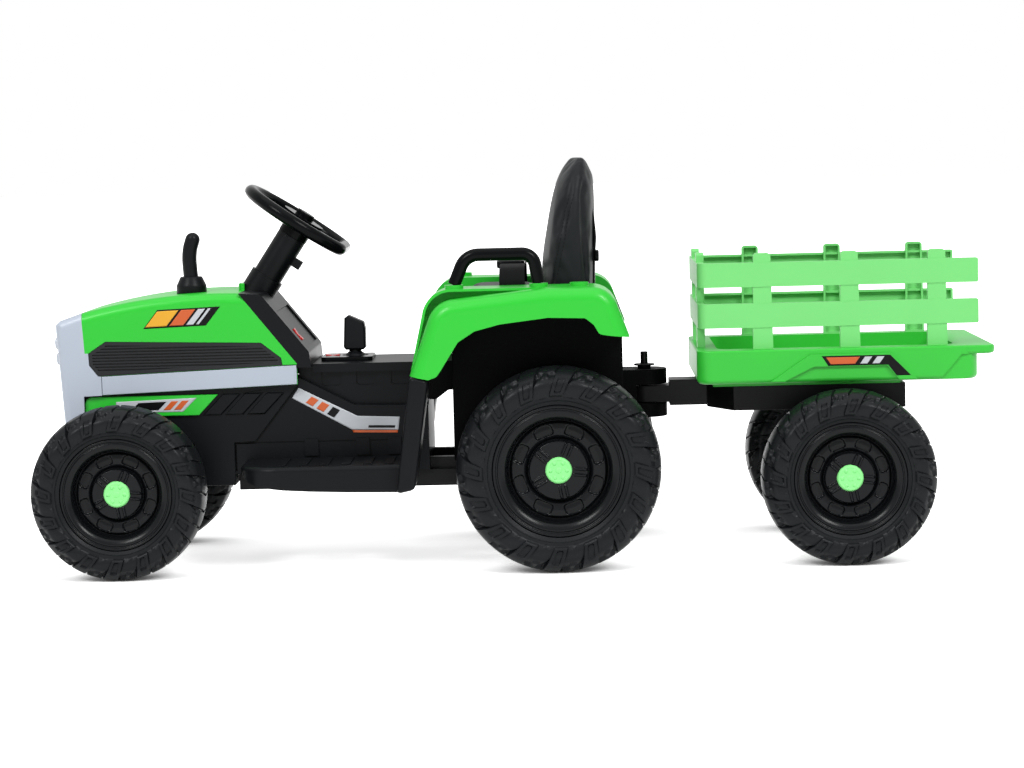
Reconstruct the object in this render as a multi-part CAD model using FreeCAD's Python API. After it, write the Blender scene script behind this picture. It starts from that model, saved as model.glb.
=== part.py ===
import FreeCAD, Part
import math
import os

# Ride-on tractor toy with a hitched trailer. Millimetres.
# The tractor faces -X, its right side is +Y, and the ground is z = 0.

V = FreeCAD.Vector

# Layout
FRONT_TYRE_RADIUS = 121.5
REAR_TYRE_RADIUS = 142.5
FRONT_TYRE_WIDTH = 86.0
REAR_TYRE_WIDTH = 96.0
WHEELBASE = 614.0
HITCH_SETBACK = 126.0
TRAILER_AXLE_SETBACK = 276.0
TRAILER_TAIL = 208.5
OVERALL_WIDTH = 470.0
FRONT_WHEEL_INSET = 13.0
WAIST_CLEARANCE = 7.0

# Fits
SEAM = 0.4
RUN_CLEARANCE = 0.06
MOVE_CLEARANCE = 0.5
PRESS_GAP = 0.15
OVERCUT = 20.0
JOIN_TOLERANCE = 0.02

# Wheels
RIM_RADIUS_share = 0.645
TYRE_WALL = 4.0
LUG_HEIGHT = 5.0
LUG_ROOT = 2.0
LUG_COUNT = 16
LUG_WIDTH_share = 0.18
LUG_SLANT_share = 0.075
LUG_TILT = 18.0
LUG_TOE_share = 0.735
LUG_FACE_share = 0.785
WINDOW_MID_share = 0.825
WINDOW_LENGTH_share = 0.12
WINDOW_WIDTH_share = 0.052
WINDOW_DEPTH = 2.0
TYRE_BEAD_share = 0.40
TYRE_SHOULDER_shares = (0.93, 0.43)
TYRE_BULGE_shares = (0.82, 0.485)
RIM_WALL = 4.0
RIM_FACE_shares = (
    (1.0, -0.385), (0.975, -0.405), (0.935, -0.405), (0.915, -0.375), (0.875, -0.375), (0.855, -0.39),
    (0.815, -0.39), (0.79, -0.345), (0.74, -0.335), (0.67, -0.17), (0.62, -0.15), (0.46, -0.19),
    (0.44, -0.255), (0.41, -0.275))
RIM_BACK_shares = (
    (0.40, -0.20), (0.42, -0.13), (0.62, -0.09), (0.70, -0.11), (0.77, -0.27), (0.93, -0.30))
RIM_POCKET_COUNT = 8
RIM_POCKET_RADIUS_share = 0.54
RIM_POCKET_LENGTH_share = 0.25
RIM_POCKET_WIDTH_share = 0.12
RIM_POCKET_DEPTH = 2.2
RIM_SPOKE_COUNT = 5
RIM_SPOKE_WIDTH = 8.0
RIM_SPOKE_RISE = 1.6
RIM_SPOKE_shares = (0.24, 0.40)
HUB_INNER_END_share = 0.42
HUB_TUBE_RADIUS = 15.0
HUB_CAVITY_RADIUS = 13.0
HUB_CAVITY_DEPTH = 15.0
AXLE_RADIUS = 6.0
NUT_RADIUS = 9.5
NUT_LENGTH = 6.0
AXLE_NUT_TAIL = 2.0
CAP_RADIUS = 18.5
CAP_RISE = 4.0
CAP_PLUG_DEPTH = 5.0
CAP_BUMP_COUNT = 6
CAP_BUMP_RADIUS = 2.6
CAP_BUMP_RISE = 1.4
CAP_BUMP_RADIUS_share = 0.62

# Bonnet
HOOD_TYRE_GAP = 34.0
HOOD_AHEAD = 58.0
HOOD_FRONT_RUN = 7.0
HOOD_TOP_LENGTH = 224.0
HOOD_REAR_RUN = 80.0
HOOD_FRONT_HEIGHT = 118.0
HOOD_CROWN_HEIGHT = 138.0
HOOD_REAR_HEIGHT = 141.0
HOOD_KNEE_HEIGHT = 40.0
HOOD_BASE_RISE = 10.0
HOOD_WALL = 4.0
HOOD_SIDE_WALL = 9.0
HOOD_EDGE_RADIUS = 15.0
COLLAR_LIP_RISE = 10.0
COLLAR_LIP_WALL = 4.0
COLLAR_LIP_HALF = 21.0
COLLAR_LIP_RADIUS = 8.0
SKIN_DEPTH = 5.0
GREEN_EDGE_shares = ((0.027, 0.432), (0.109, 0.548), (0.836, 0.502), (0.928, 0.346), (0.934, 0.274))
LOUVRE_shares = (
    (0.027, 0.432), (0.109, 0.548), (0.836, 0.502), (0.928, 0.346), (0.934, 0.268), (0.070, 0.199),
    (0.030, 0.311))
LOUVRE_BORDER = 5.0
LOUVRE_COUNT = 9
LOUVRE_SLAT_share = 0.55
LOUVRE_BASE = 1.8
LOUVRE_THICKNESS = 4.6
STRIP_shares = ((0.084, 0.197), (1.0, 0.27), (1.0, 0.071), (0.086, 0.005))
STRIP_THICKNESS = 4.4

# Nose
NOSE_AHEAD = 96.5
NOSE_FOOT_AHEAD = 87.0
NOSE_BROW_AHEAD = 90.0
NOSE_BROW_HEIGHT = 107.5
NOSE_FACE_HEIGHT = 101.0
NOSE_DROP = 50.0
NOSE_WALL = 4.0
NOSE_CORNER_RADIUS = 12.0
GRILLE_MARGIN = 48.0
GRILLE_LOW_share = 0.12
GRILLE_HIGH_share = 0.88
GRILLE_BAR_COUNT = 6
GRILLE_BAR_HEIGHT = 7.0
GRILLE_BAR_RISE = 3.0
GRILLE_PLATE = 3.0
LAMP_RADIUS = 9.5
LAMP_INSET = 25.0
LAMP_LOW_HEIGHT = 53.0
LAMP_HIGH_HEIGHT = 75.0
LAMP_RISE = 5.0
LAMP_DEPTH = 12.0

# Front shroud
SHROUD_INSET = 12.0
SHROUD_DROP = 72.0
SHROUD_WALL = 4.0
SHROUD_BLOCK_LENGTH = 57.0
SHROUD_BLOCK_AHEAD = 93.0
SHROUD_BLOCK_DROP = 133.0
SHROUD_HEEL_AHEAD = 65.0
LOWER_PANEL_THICKNESS = 5.0
LOWER_PANEL_TOP = 2.0
LOWER_PANEL_DROP = 31.0
LOWER_PANEL_CORNER = 10.0
LOWER_PANEL_AHEAD = 142.0
LOWER_PANEL_REAR_RUN = 28.0
RIB_COUNT = 3
RIB_WIDTH = 24.0
RIB_GAP = 7.0
RIB_RISE = 3.0
SADDLE_FRONT = 25.0
SADDLE_REAR = 8.0
SADDLE_MARGIN = 30.0
SHAFT_SLOT_AHEAD = 26.0
SHAFT_SLOT_BEHIND = 44.0
SHAFT_SLOT_HALF = 30.0

# Exhaust stack
STACK_SETBACK = 92.5
STACK_SIDE = 40.0
STACK_BASE_RADIUS = 21.5
STACK_NECK_RADIUS = 15.5
STACK_PIPE_RADIUS = 10.5
STACK_BASE_HEIGHT = 13.0
STACK_NECK_HEIGHT = 26.0
STACK_STRAIGHT = 30.0
STACK_BEND_RADIUS = 60.0
STACK_BEND_ANGLE = 24.0
STACK_BORE_DEPTH_share = 0.35
STACK_BORE_RADIUS = 8.0

# Dashboard, column and steering
DASH_TOP_LENGTH = 32.0
DASH_TOP_DROP = 2.5
DASH_LIP_BEHIND = 18.0
DASH_LIP_HEIGHT = 56.0
DASH_FOOT_BEHIND = 20.0
DASH_FOOT_HEIGHT = 34.0
DASH_WALL = 7.0
DASH_RECESS_DEPTH = 3.0
DASH_RECESS_MARGIN = 20.0
DASH_RECESS_shares = (0.30, 0.93)
DASH_FACE_RADIUS = 10.0
STEER_ANGLE = 56.4
STEER_HUB_BEHIND = 83.0
STEER_HUB_HEIGHT = 96.0
STEER_RIM_PATH_RADIUS = 84.0
STEER_RIM_FLAT = 70.0
STEER_RIM_CORNER = 22.0
STEER_RIM_TUBE = 9.0
STEER_HUB_RADIUS = 32.0
STEER_HUB_RISE = 8.0
STEER_HUB_DROP = 8.0
STEER_SLEEVE_RADIUS = 22.0
STEER_SLEEVE_LENGTH = 16.0
STEER_SPOKE_WIDTH = 18.0
STEER_SPOKE_THICKNESS = 7.0
STEER_SPOKE_ANGLES = (0.0, 115.0, 245.0)
HORN_RADIUS = 14.0
HORN_RISE = 8.0
HORN_DEPTH = 4.0
HORN_TRAVEL = 2.0
COLUMN_RADIUS = 21.4
COLUMN_WALL = 4.0
COLUMN_SOCKET_DEPTH = 27.5
COLLAR_RADIUS = 24.6
COLLAR_RISE = 21.9
COLLAR_LENGTH = 36.0
BOSS_WIDTH = 13.0
BOSS_LENGTH = 12.0
BOSS_DROP = 48.0
SHAFT_RADIUS = 5.0
SHAFT_PASSAGE_PLAY = 4.0
SHAFT_END_ABOVE_AXLE = 30.0
SHAFT_BEND_RADIUS = 9.0
CRANK_LENGTH = 21.7
CRANK_PIN_BELOW_AXLE = 36.0
SHAFT_TOP_EMBED = 4.0

# Front axle
BEAM_HALF = 10.0
EYE_RADIUS = 11.0
EYE_HALF_HEIGHT = 15.0
KINGPIN_TO_TYRE = 24.0
KINGPIN_RADIUS = 5.0
FORK_EAR = 6.0
FORK_HALF = 12.0
FORK_BACK_FROM_PIN = 12.5
FORK_BACK_THICKNESS = 7.0
ARM_LENGTH = 40.0
ARM_HALF = 8.0
ARM_SLOT_RUN = 3.2
ARM_TIP = 13.0
TIE_PIN_RADIUS = 3.0
TIE_PIN_PLAY = 0.9
TIE_BAR_HALF = 7.0
TIE_BAR_THICKNESS = 8.0
TIE_PLATE_HALF = 13.0
TIE_SLOT_AHEAD = 15.8
TIE_SLOT_BEHIND = 9.6
TIE_SLOT_PLAY = 1.0

# Centre tub
TUB_INSET = 16.0
TUB_WALL = 4.0
SEAM_GROOVE_WIDTH = 2.4
SEAM_GROOVE_DEPTH = 6.0
LEDGE_GROOVE_WIDTH = 1.8
LEDGE_GROOVE_DEPTH = 2.0
TUB_BOTTOM_DROP = 117.0
TUB_REAR_AHEAD = 184.0
TUB_CREASE_BEHIND = 78.0
TUB_CREASE_DROP = 22.0
TUB_CREASE_END_DROP = 25.0
TUB_CREASE_START_RISE = 19.0
CONSOLE_INSET = 14.0
CONSOLE_LIP_OVERHANG = 6.0
CONSOLE_LIP = 12.0
CONSOLE_TOP = 37.0
CONSOLE_POCKET_COUNT = 3
CONSOLE_POCKET_BEHIND = 12.0
CONSOLE_POCKET_PITCH = 49.5
CONSOLE_POCKET_LENGTH = 28.0
CONSOLE_POCKET_HEIGHT = 20.0
CONSOLE_POCKET_DEPTH = 2.6
CONSOLE_POCKET_RADIUS = 5.0
SIDE_RIB_START_shares = (0.038, 0.435, 0.68)
SIDE_RIB_WIDTH = 19.0
SIDE_RIB_RISE = 3.0
SIDE_RIB_HEIGHT = 24.0
SIDE_RIB_DROP = 93.0

# Footboards
FOOT_INSET = 30.0
FOOT_FRONT_GAP = 15.0
FOOT_TOP_DROP = 96.0
FOOT_DEPTH_shares = (
    (0.0, 0.0), (0.0, 0.24), (0.012, 0.37), (0.03, 0.48), (0.06, 0.585), (0.11, 0.685), (0.18, 0.77),
    (0.29, 0.85), (0.45, 0.91), (0.70, 0.965), (1.0, 1.0))
FOOT_DEPTH = 38.0
FOOT_WALL = 4.0
FOOT_CORNER_RADIUS = 55.0
FOOT_EDGE_RADIUS = 7.0
TREAD_COUNT = 6
TREAD_RISE = 1.6
TREAD_WIDTH = 12.0
TREAD_REAR_GAP = 11.2
TREAD_MARGIN = 16.0
TREAD_FIRST_BEHIND = 54.0

# Pillars
PILLAR_FOOT_AHEAD = 224.0
PILLAR_TOP_AHEAD = 202.0
PILLAR_WIDTH = 26.0
PILLAR_FOOT_DROP = 134.0
PILLAR_DEPTH = 72.0

# Accelerator pedal
PEDAL_TUB_GAP = 38.0
PEDAL_WIDTH = 50.0
PEDAL_HEEL_BEHIND = 138.0
PEDAL_LENGTH = 72.0
PEDAL_RISE = 26.0
PEDAL_THICKNESS = 6.0
PEDAL_BARREL_RADIUS = 5.0
PEDAL_PIN_RADIUS = 3.0
PEDAL_LUG_WIDTH = 6.0
PEDAL_LUG_HEIGHT = 13.0
PEDAL_AXIS_RISE = 6.5

# Console plate, switches and lever
PLATE_GAP = 9.0
PLATE_LENGTH = 74.0
PLATE_HALF = 40.0
PLATE_THICKNESS = 6.0
PLATE_RADIUS = 8.0
LEVER_BEHIND = 47.0
LEVER_BALL_RADIUS = 18.5
LEVER_BALL_DROP = 5.0
LEVER_BALL_FLAT = 6.0
LEVER_HOLE_PLAY = 0.7
LEVER_PIN_RADIUS = 3.0
LEVER_LUG_WIDTH = 6.0
LEVER_LUG_HALF = 9.0
LEVER_LUG_DROP = 12.0
LEVER_NECK_RADIUS = 9.0
KNOB_BOTTOM_RISE = 14.0
KNOB_shares = (
    (0.0, 0.08), (0.06, 0.92), (0.24, 1.0), (0.93, 0.80), (1.0, 0.62), (1.0, 0.06), (0.9, 0.0), (0.1, 0.0))
KNOB_LENGTH = 32.0
KNOB_HEIGHT = 50.0
KNOB_HALF = 13.0
KNOB_RADIUS = 5.0
ROCKER_LENGTH = 20.0
ROCKER_HALF = 6.5
ROCKER_RISE = 4.6
ROCKER_DROP = 1.5
ROCKER_DISH = 1.5
ROCKER_PIN_RADIUS = 1.3
ROCKER_PIN_LENGTH = 3.0
ROCKER_PLAY = 0.8
CONSOLE_ROCKER_BEHIND = 14.5
DASH_ROCKER_share = 0.72
DASH_ROCKER_SIDE = -45.0

# Rear body and frame
BODY_TYRE_GAP = 15.0
BODY_FRONT_AHEAD = 147.0
BODY_REAR_BEHIND = 93.0
BODY_WALL = 4.0
DECK_RISE = 102.0
BODY_SILL_DROP = 101.0
BODY_CHEEK_BELOW_AXLE = 24.0
BODY_CHEEK_AHEAD = 54.0
BODY_CHEEK_BEHIND = 54.0
BODY_TAIL_DROP = 55.0
BRIDGE_DROP = 18.0
BRIDGE_GAP_DROP = 5.0
BRIDGE_BRACE_shares = (0.30, 0.78)
FORK_PLATE_HALF = 32.0
FORK_TOP_RISE = 14.0
FORK_UPPER_BOTTOM_DROP = 8.0
FORK_LOWER_TOP_DROP = 35.0
FORK_BOTTOM_DROP = 55.0
FORK_BLOCK_LENGTH = 21.0
FORK_THROAT_PLAY = 2.0
PIN_RADIUS = 5.3
PIN_PLAY = 0.3
PIN_TOP_RISE = 38.0
PIN_FLANGE_RADIUS = 15.0
PIN_FLANGE_LOW_RISE = 18.0
PIN_FLANGE_THICKNESS = 2.5
PIN_COLLAR_RADIUS = 9.5
PIN_FOOT_DROP = 59.0
PAN_INSET = 7.0
PAN_DEPTH = 24.0
PAN_WALL = 4.0
PAN_FRONT_GAP = 4.0
PAN_REAR_AHEAD = 50.0
RAIL_INSET = 26.0
RAIL_HALF = 7.5
RAIL_HEIGHT = 16.0
RAIL_FRONT_AHEAD = 314.0

# Fenders and armrest
FENDER_INSET = 3.0
FENDER_STEP = 32.0
FENDER_WALL = 3.5
FENDER_TOP_RISE = 145.0
FENDER_FRONT_AHEAD = 202.0
FENDER_FRONT_RUN = 26.0
FENDER_OUTER_RUN = 36.0
FENDER_OUTER_DROP = 16.0
FENDER_OUTER_JOIN = 14.0
FENDER_REAR_BEHIND = 102.0
FENDER_REAR_RUN = 26.0
FENDER_TIP_RISE = 28.0
FENDER_TAIL_RISE = 70.0
FENDER_FRONT_RADIUS = 40.0
FENDER_REAR_RADIUS = 36.0
FENDER_EDGE_RADIUS = 18.0
ARCH_shares = (
    (1.0, 0.400), (0.90, 0.430), (0.862, 0.450), (0.838, 0.560), (0.800, 0.640), (0.632, 0.655), (0.414, 0.590),
    (0.300, 0.515), (0.224, 0.390), (0.144, 0.065), (0.123, -0.010), (0.090, -0.045))
ARCH_RADIUS = 14.0
SOCKET_RADIUS = 13.0
SOCKET_RISE = 5.0
SOCKET_INSET = 20.0
ARM_FRONT_AHEAD = 139.0
ARM_REAR_AHEAD = 22.0
ROUND_SOCKET_BEHIND = 34.0
ARM_TUBE_RADIUS = 9.0
ARM_TOP_RISE = 46.0
ARM_FRONT_SHIFT = 17.0
ARM_REAR_SHIFT = 7.0
ARM_FRONT_RADIUS = 26.0
ARM_REAR_RADIUS = 18.0
ARM_SOCKET_DEPTH = 4.0

# Seat
CUSHION_FRONT_AHEAD = 136.0
CUSHION_REAR_AHEAD = 18.0
CUSHION_MARGIN = 14.0
CUSHION_HEIGHT = 34.0
CUSHION_LEVEL_shares = ((0.0, 0.06), (0.25, 0.0), (0.62, 0.01), (0.88, 0.06), (1.0, 0.16))
BACK_FRONT_AHEAD = 16.0
BACK_HEIGHT = 218.5
BACK_DEPTH = 71.0
BACK_MARGIN = 14.0
BACK_LEVEL_shares = (
    (0.0, 0.04, 0.95, 0.97), (0.19, 0.03, 0.985, 1.0), (0.36, 0.045, 0.995, 1.0), (0.52, 0.13, 1.0, 0.98),
    (0.70, 0.24, 1.0, 0.93), (0.86, 0.40, 0.985, 0.82), (0.955, 0.58, 0.96, 0.66), (1.0, 0.72, 0.90, 0.50))
BACK_CROWN_share = 0.20
CUSHION_CROWN_share = 0.05
PAD_SIDE_BULGE = 3.0
BELT_HALF_WIDTH = 16.0
BELT_THICKNESS = 2.4
BELT_MARGIN = 6.0
BELT_RISE = 68.0
BELT_SHOULDER = 40.0
BELT_SHOULDER_RADIUS = 18.0
BELT_AHEAD = 64.0
BUCKLE_HALF = 27.0
BUCKLE_WIDTH_HALF = 21.0
BUCKLE_HEIGHT = 13.0
BUCKLE_RADIUS = 4.0

# Drive parts
GEARBOX_AHEAD = 44.0
GEARBOX_BEHIND = 30.0
GEARBOX_WIDTH = 36.0
GEARBOX_HALF_HEIGHT = 36.0
GEARBOX_RADIUS = 12.0
GEARBOX_BOSS_RADIUS = 22.0
MOTOR_RADIUS = 17.0
MOTOR_LENGTH = 56.0
MOTOR_RISE = 12.0
BATTERY_LENGTH = 65.0
BATTERY_MARGIN = 49.0
BATTERY_HEIGHT = 94.0
BATTERY_AHEAD = 138.0

# Trailer
BED_FRONT_AHEAD = 206.0
BED_REAR_BEHIND = 185.0
BED_INSET = 75.0
BED_EDGE_RADIUS = 7.0
BED_RIM_RADIUS = 2.5
BED_BOTTOM_RISE = 1.0
BED_HEIGHT = 47.0
BED_LEDGE_SIDE = 34.0
BED_LEDGE_END = 30.0
BED_WALL = 8.0
BED_FLOOR = 8.0
BED_CORNER_RADIUS = 22.0
BED_CAVITY_RADIUS = 16.0
LIP_HEIGHT = 12.0
LIP_EDGE_RADIUS = 4.5
LIP_RADIUS = 16.0
PLINTH_INSET = 60.0
PLINTH_DEPTH = 8.0
PLINTH_FRONT_AHEAD = 181.5
PLINTH_REAR_BEHIND = 82.0
BAND_OUTER_shares = ((-0.56, 0.06), (-0.27, 0.84), (0.34, 0.84), (0.54, 0.06))
BAND_INNER_shares = ((0.40, 0.06), (0.31, 0.48), (-0.24, 0.48), (-0.46, 0.06))
BAND_RISE = 4.0
CORNER_RECESS_shares = ((0.66, -0.2), (1.3, -0.2), (1.3, 0.75), (0.87, 0.75))
CORNER_RECESS_DEPTH = 3.0
FENCE_INSET = 20.0
FENCE_SKIN = 3.0
FENCE_BEND_RADIUS = 14.0
FENCE_RAIL_DEPTH = 10.0
POST_SETBACK = 1.0
POST_DEPTH = 11.0
POST_WIDTH = 28.0
POST_TAPER = 2.0
POST_HEIGHT = 134.0
POST_TOP_RADIUS = 5.0
POST_COUNT = 3
POST_PITCH = 121.5
FENCE_MID_BEHIND = 9.0
FENCE_RAIL_HEIGHT = 34.0
LOWER_RAIL_HEIGHT = 30.0
UPPER_RAIL_HEIGHT = 87.0
FENCE_FRONT_AHEAD = 203.0
FENCE_REAR_BEHIND = 188.0
FENCE_END_RADIUS = 2.5
FRONT_POST_INSET = 90.0
TONGUE_HALF = 25.0
TONGUE_TOP_DROP = 10.0
TONGUE_BOTTOM_DROP = 34.0
BAR_START = 35.0
BAR_TOP_DROP = 2.0
BAR_BOTTOM_DROP = 39.0
FRAME_FRONT_AHEAD = 187.0
FRAME_FLARE = 34.0
FRAME_REAR_BEHIND = 90.0
FRAME_TYRE_GAP = 41.0
FRAME_BOTTOM_DROP = 42.0
FRAME_WALL = 5.0
HANGER_THICKNESS = 16.0
HANGER_TOP_HALF = 46.0
HANGER_FOOT_HALF = 17.0
HANGER_BELOW_AXLE = 14.0
HANGER_RADIUS = 10.0

# Derived layout
OVERALL_LENGTH = FRONT_TYRE_RADIUS + WHEELBASE + HITCH_SETBACK + TRAILER_AXLE_SETBACK + TRAILER_TAIL
FRONT_X = FRONT_TYRE_RADIUS - OVERALL_LENGTH / 2
REAR_X = FRONT_X + WHEELBASE
HITCH_X = REAR_X + HITCH_SETBACK
TRAILER_X = HITCH_X + TRAILER_AXLE_SETBACK
WAIST_Z = 2 * FRONT_TYRE_RADIUS + WAIST_CLEARANCE
REAR_WHEEL_Y = OVERALL_WIDTH / 2 - REAR_TYRE_WIDTH / 2
FRONT_WHEEL_Y = OVERALL_WIDTH / 2 - FRONT_WHEEL_INSET - FRONT_TYRE_WIDTH / 2
FRONT_AXLE = V(FRONT_X, 0, FRONT_TYRE_RADIUS)
REAR_AXLE = V(REAR_X, 0, REAR_TYRE_RADIUS)
TRAILER_AXLE = V(TRAILER_X, 0, FRONT_TYRE_RADIUS)
SIDES = (-1, 1)
FRONT_TYRE_IN_Y = FRONT_WHEEL_Y - FRONT_TYRE_WIDTH / 2
HOOD_HALF = FRONT_TYRE_IN_Y - HOOD_TYRE_GAP
SHROUD_HALF = HOOD_HALF - SHROUD_INSET
SADDLE_HALF = SHROUD_HALF - SADDLE_MARGIN
GRILLE_HALF = HOOD_HALF - GRILLE_MARGIN
LAMP_SPREAD = HOOD_HALF - LAMP_INSET
DASH_RECESS_HALF = HOOD_HALF - DASH_RECESS_MARGIN
TUB_HALF = HOOD_HALF - TUB_INSET
CONSOLE_HALF = TUB_HALF - CONSOLE_INSET
CONSOLE_LIP_HALF = CONSOLE_HALF + CONSOLE_LIP_OVERHANG
PAN_HALF = TUB_HALF - PAN_INSET
RAIL_SPREAD = TUB_HALF - RAIL_INSET
FOOT_HALF = OVERALL_WIDTH / 2 - FOOT_INSET
PEDAL_INNER = TUB_HALF + PEDAL_TUB_GAP
FENDER_HALF = OVERALL_WIDTH / 2 - FENDER_INSET
FENDER_STEP_HALF = FENDER_HALF - FENDER_STEP
SOCKET_SIDE = FENDER_STEP_HALF - SOCKET_INSET
PILLAR_INNER = FENDER_HALF - PILLAR_DEPTH
BODY_HALF = OVERALL_WIDTH / 2 - REAR_TYRE_WIDTH - BODY_TYRE_GAP
CUSHION_HALF = BODY_HALF - CUSHION_MARGIN
BACK_HALF = BODY_HALF - BACK_MARGIN
BELT_SPREAD = BODY_HALF - BELT_MARGIN
BATTERY_HALF = BODY_HALF - BATTERY_MARGIN
BED_HALF = OVERALL_WIDTH / 2 - BED_INSET
PLINTH_HALF = BED_HALF - PLINTH_INSET
FENCE_SPREAD = BED_HALF - FENCE_INSET
FRONT_POST_SPREAD = BED_HALF - FRONT_POST_INSET
FRONT_FENCE_HALF = FENCE_SPREAD - FENCE_BEND_RADIUS - SEAM
FRAME_HALF = FRONT_TYRE_IN_Y - FRAME_TYRE_GAP


# Outline and solid helpers
def closed_wire(points, lift):
    """Closed wire through (u, v) or (u, v, radius) corners, rounded where a radius is given."""
    count = len(points)
    corners = [V(p[0], p[1], 0) for p in points]
    radii = [p[2] if len(p) > 2 else 0 for p in points]
    entries = []
    for i in range(count):
        here = corners[i]
        back = corners[i - 1] - here
        ahead = corners[(i + 1) % count] - here
        if radii[i] <= 0:
            entries.append((here, None, here))
            continue
        half_angle = back.getAngle(ahead) / 2
        reach = radii[i] / math.tan(half_angle)
        to_back = V(back).normalize()
        to_ahead = V(ahead).normalize()
        middle = (to_back + to_ahead).normalize()
        centre = here + middle * (radii[i] / math.sin(half_angle))
        entries.append((here + to_back * reach, centre - middle * radii[i], here + to_ahead * reach))
    edges = []
    for i in range(count):
        start, mid, end = entries[i]
        if mid is not None:
            edges.append(Part.Arc(lift(start), lift(mid), lift(end)).toShape())
        following = entries[(i + 1) % count][0]
        if (following - end).Length > JOIN_TOLERANCE:
            edges.append(Part.makeLine(lift(end), lift(following)))
    return Part.Wire(edges)


def side_prism(points, y0, y1):
    """Solid with an (x, z) outline between two y planes."""
    wire = closed_wire(points, lambda p: V(p.x, y0, p.y))
    return Part.Face(wire).extrude(V(0, y1 - y0, 0))


def plan_prism(points, z0, z1):
    """Solid with an (x, y) outline between two heights."""
    wire = closed_wire(points, lambda p: V(p.x, p.y, z0))
    return Part.Face(wire).extrude(V(0, 0, z1 - z0))


def end_prism(points, x0, x1):
    """Solid with a (y, z) outline between two x planes."""
    wire = closed_wire(points, lambda p: V(x0, p.x, p.y))
    return Part.Face(wire).extrude(V(x1 - x0, 0, 0))


def block(x0, x1, y0, y1, z0, z1):
    return Part.makeBox(x1 - x0, y1 - y0, z1 - z0, V(x0, y0, z0))


def rectangle(u0, u1, v0, v1, radius=0):
    return [(u0, v0, radius), (u1, v0, radius), (u1, v1, radius), (u0, v1, radius)]


def placed(shares, x0, z0, length, height, radius=0):
    """Outline corners from shares of a length and a height."""
    return [(x0 + length * s[0], z0 + height * s[1], radius) for s in shares]


def ring(profile):
    """Solid of revolution about Y from a closed (radius, y) profile."""
    wire = closed_wire(profile, lambda p: V(p.x, p.y, 0))
    return Part.Face(wire).revolve(V(0, 0, 0), V(0, 1, 0), 360)


def rod(start, direction, length, radius):
    return Part.makeCylinder(radius, length, start, direction)


def union(shapes):
    return shapes[0].fuse(list(shapes[1:])).removeSplitter() if len(shapes) > 1 else shapes[0]


def moved(shape, offset):
    result = shape.copy()
    result.translate(offset)
    return result


def mirrored(shape):
    return shape.mirror(V(0, 0, 0), V(0, 1, 0))


def both_sides(shape):
    return Part.makeCompound([shape, mirrored(shape)])


def inset(points, distance):
    """Outline pulled in by a distance, keeping its straight corners."""
    face = Part.Face(closed_wire([p[:2] for p in points], lambda p: V(p.x, p.y, 0)))
    shrunk = face.makeOffset2D(-distance, 2)
    return [(v.X, v.Y) for v in shrunk.OuterWire.OrderedVertexes]


def loft(wires):
    return Part.makeLoft(wires, True, False)


def save(name, shape):
    if shape.Volume < 0:
        shape.reverse()
    if not shape.isValid():
        raise ValueError(name + " is not valid")
    shape.exportStep("parts/" + name + ".step")


# Wheel pieces, each built about the origin with the outer face towards -Y
def tyre(radius, width):
    bead = radius * RIM_RADIUS_share + PRESS_GAP
    carcass = radius - LUG_HEIGHT
    bead_y = width * TYRE_BEAD_share
    shoulder = (carcass * TYRE_SHOULDER_shares[0], width * TYRE_SHOULDER_shares[1])
    bulge = (radius * TYRE_BULGE_shares[0], width * TYRE_BULGE_shares[1])
    outer = [(bead, -bead_y), (bulge[0], -bulge[1]), (shoulder[0], -shoulder[1]), (carcass, -shoulder[1] / 2),
             (carcass, shoulder[1] / 2), (shoulder[0], shoulder[1]), (bulge[0], bulge[1]), (bead, bead_y)]
    inner = [(bead, bead_y - TYRE_WALL), (bulge[0], bulge[1] - TYRE_WALL),
             (shoulder[0] - TYRE_WALL, shoulder[1] - TYRE_WALL), (carcass - TYRE_WALL, shoulder[1] / 2)]
    inner = inner + [(r, -y) for r, y in reversed(inner)]
    shell = ring(outer + inner)
    toe = radius * LUG_TOE_share
    toe_y = bead_y + (bulge[1] - bead_y) * (toe - bead) / (bulge[0] - bead)
    lug_profile = [(toe, -toe_y), (radius * LUG_FACE_share, -width / 2), (shoulder[0], -width / 2),
                   (radius, -shoulder[1]), (radius, LUG_ROOT), (carcass - LUG_ROOT, LUG_ROOT),
                   (carcass - LUG_ROOT, -shoulder[1] / 2), (shoulder[0] - LUG_ROOT, -shoulder[1] + LUG_ROOT),
                   (bulge[0], -bulge[1] + LUG_ROOT), (toe, -toe_y + LUG_ROOT)]
    lug_ring = ring(lug_profile)
    lug_half = radius * LUG_WIDTH_share / 2
    slant = radius * LUG_SLANT_share
    outline = [(-lug_half - slant, -width), (lug_half - slant, -width), (lug_half + slant, 0),
               (lug_half + slant, width), (-lug_half + slant, width), (-lug_half + slant, 0)]
    cutter = plan_prism(outline, radius - bead / 2, radius + bead / 2)
    cutter.rotate(V(0, 0, radius), V(0, 1, 0), LUG_TILT)
    half_length = radius * WINDOW_LENGTH_share / 2
    half_width = radius * WINDOW_WIDTH_share / 2
    mid = radius * WINDOW_MID_share
    window = side_prism(rectangle(-half_width - slant, half_width - slant, mid - half_length, mid + half_length,
                                  half_width / 2), -width, -width / 2 + WINDOW_DEPTH)
    window.rotate(V(0, 0, radius), V(0, 1, 0), LUG_TILT)
    pitch = 360 / LUG_COUNT
    lugs = lug_ring.common(Part.makeCompound(turned_copies(cutter, LUG_COUNT, 0))).Solids
    lugs = Part.makeCompound(lugs).cut(turned_copies(window, LUG_COUNT, 0))
    far_lugs = mirrored(lugs)
    far_lugs.rotate(V(0, 0, 0), V(0, 1, 0), pitch / 2)
    return shell.fuse(lugs.Solids + far_lugs.Solids)


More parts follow.
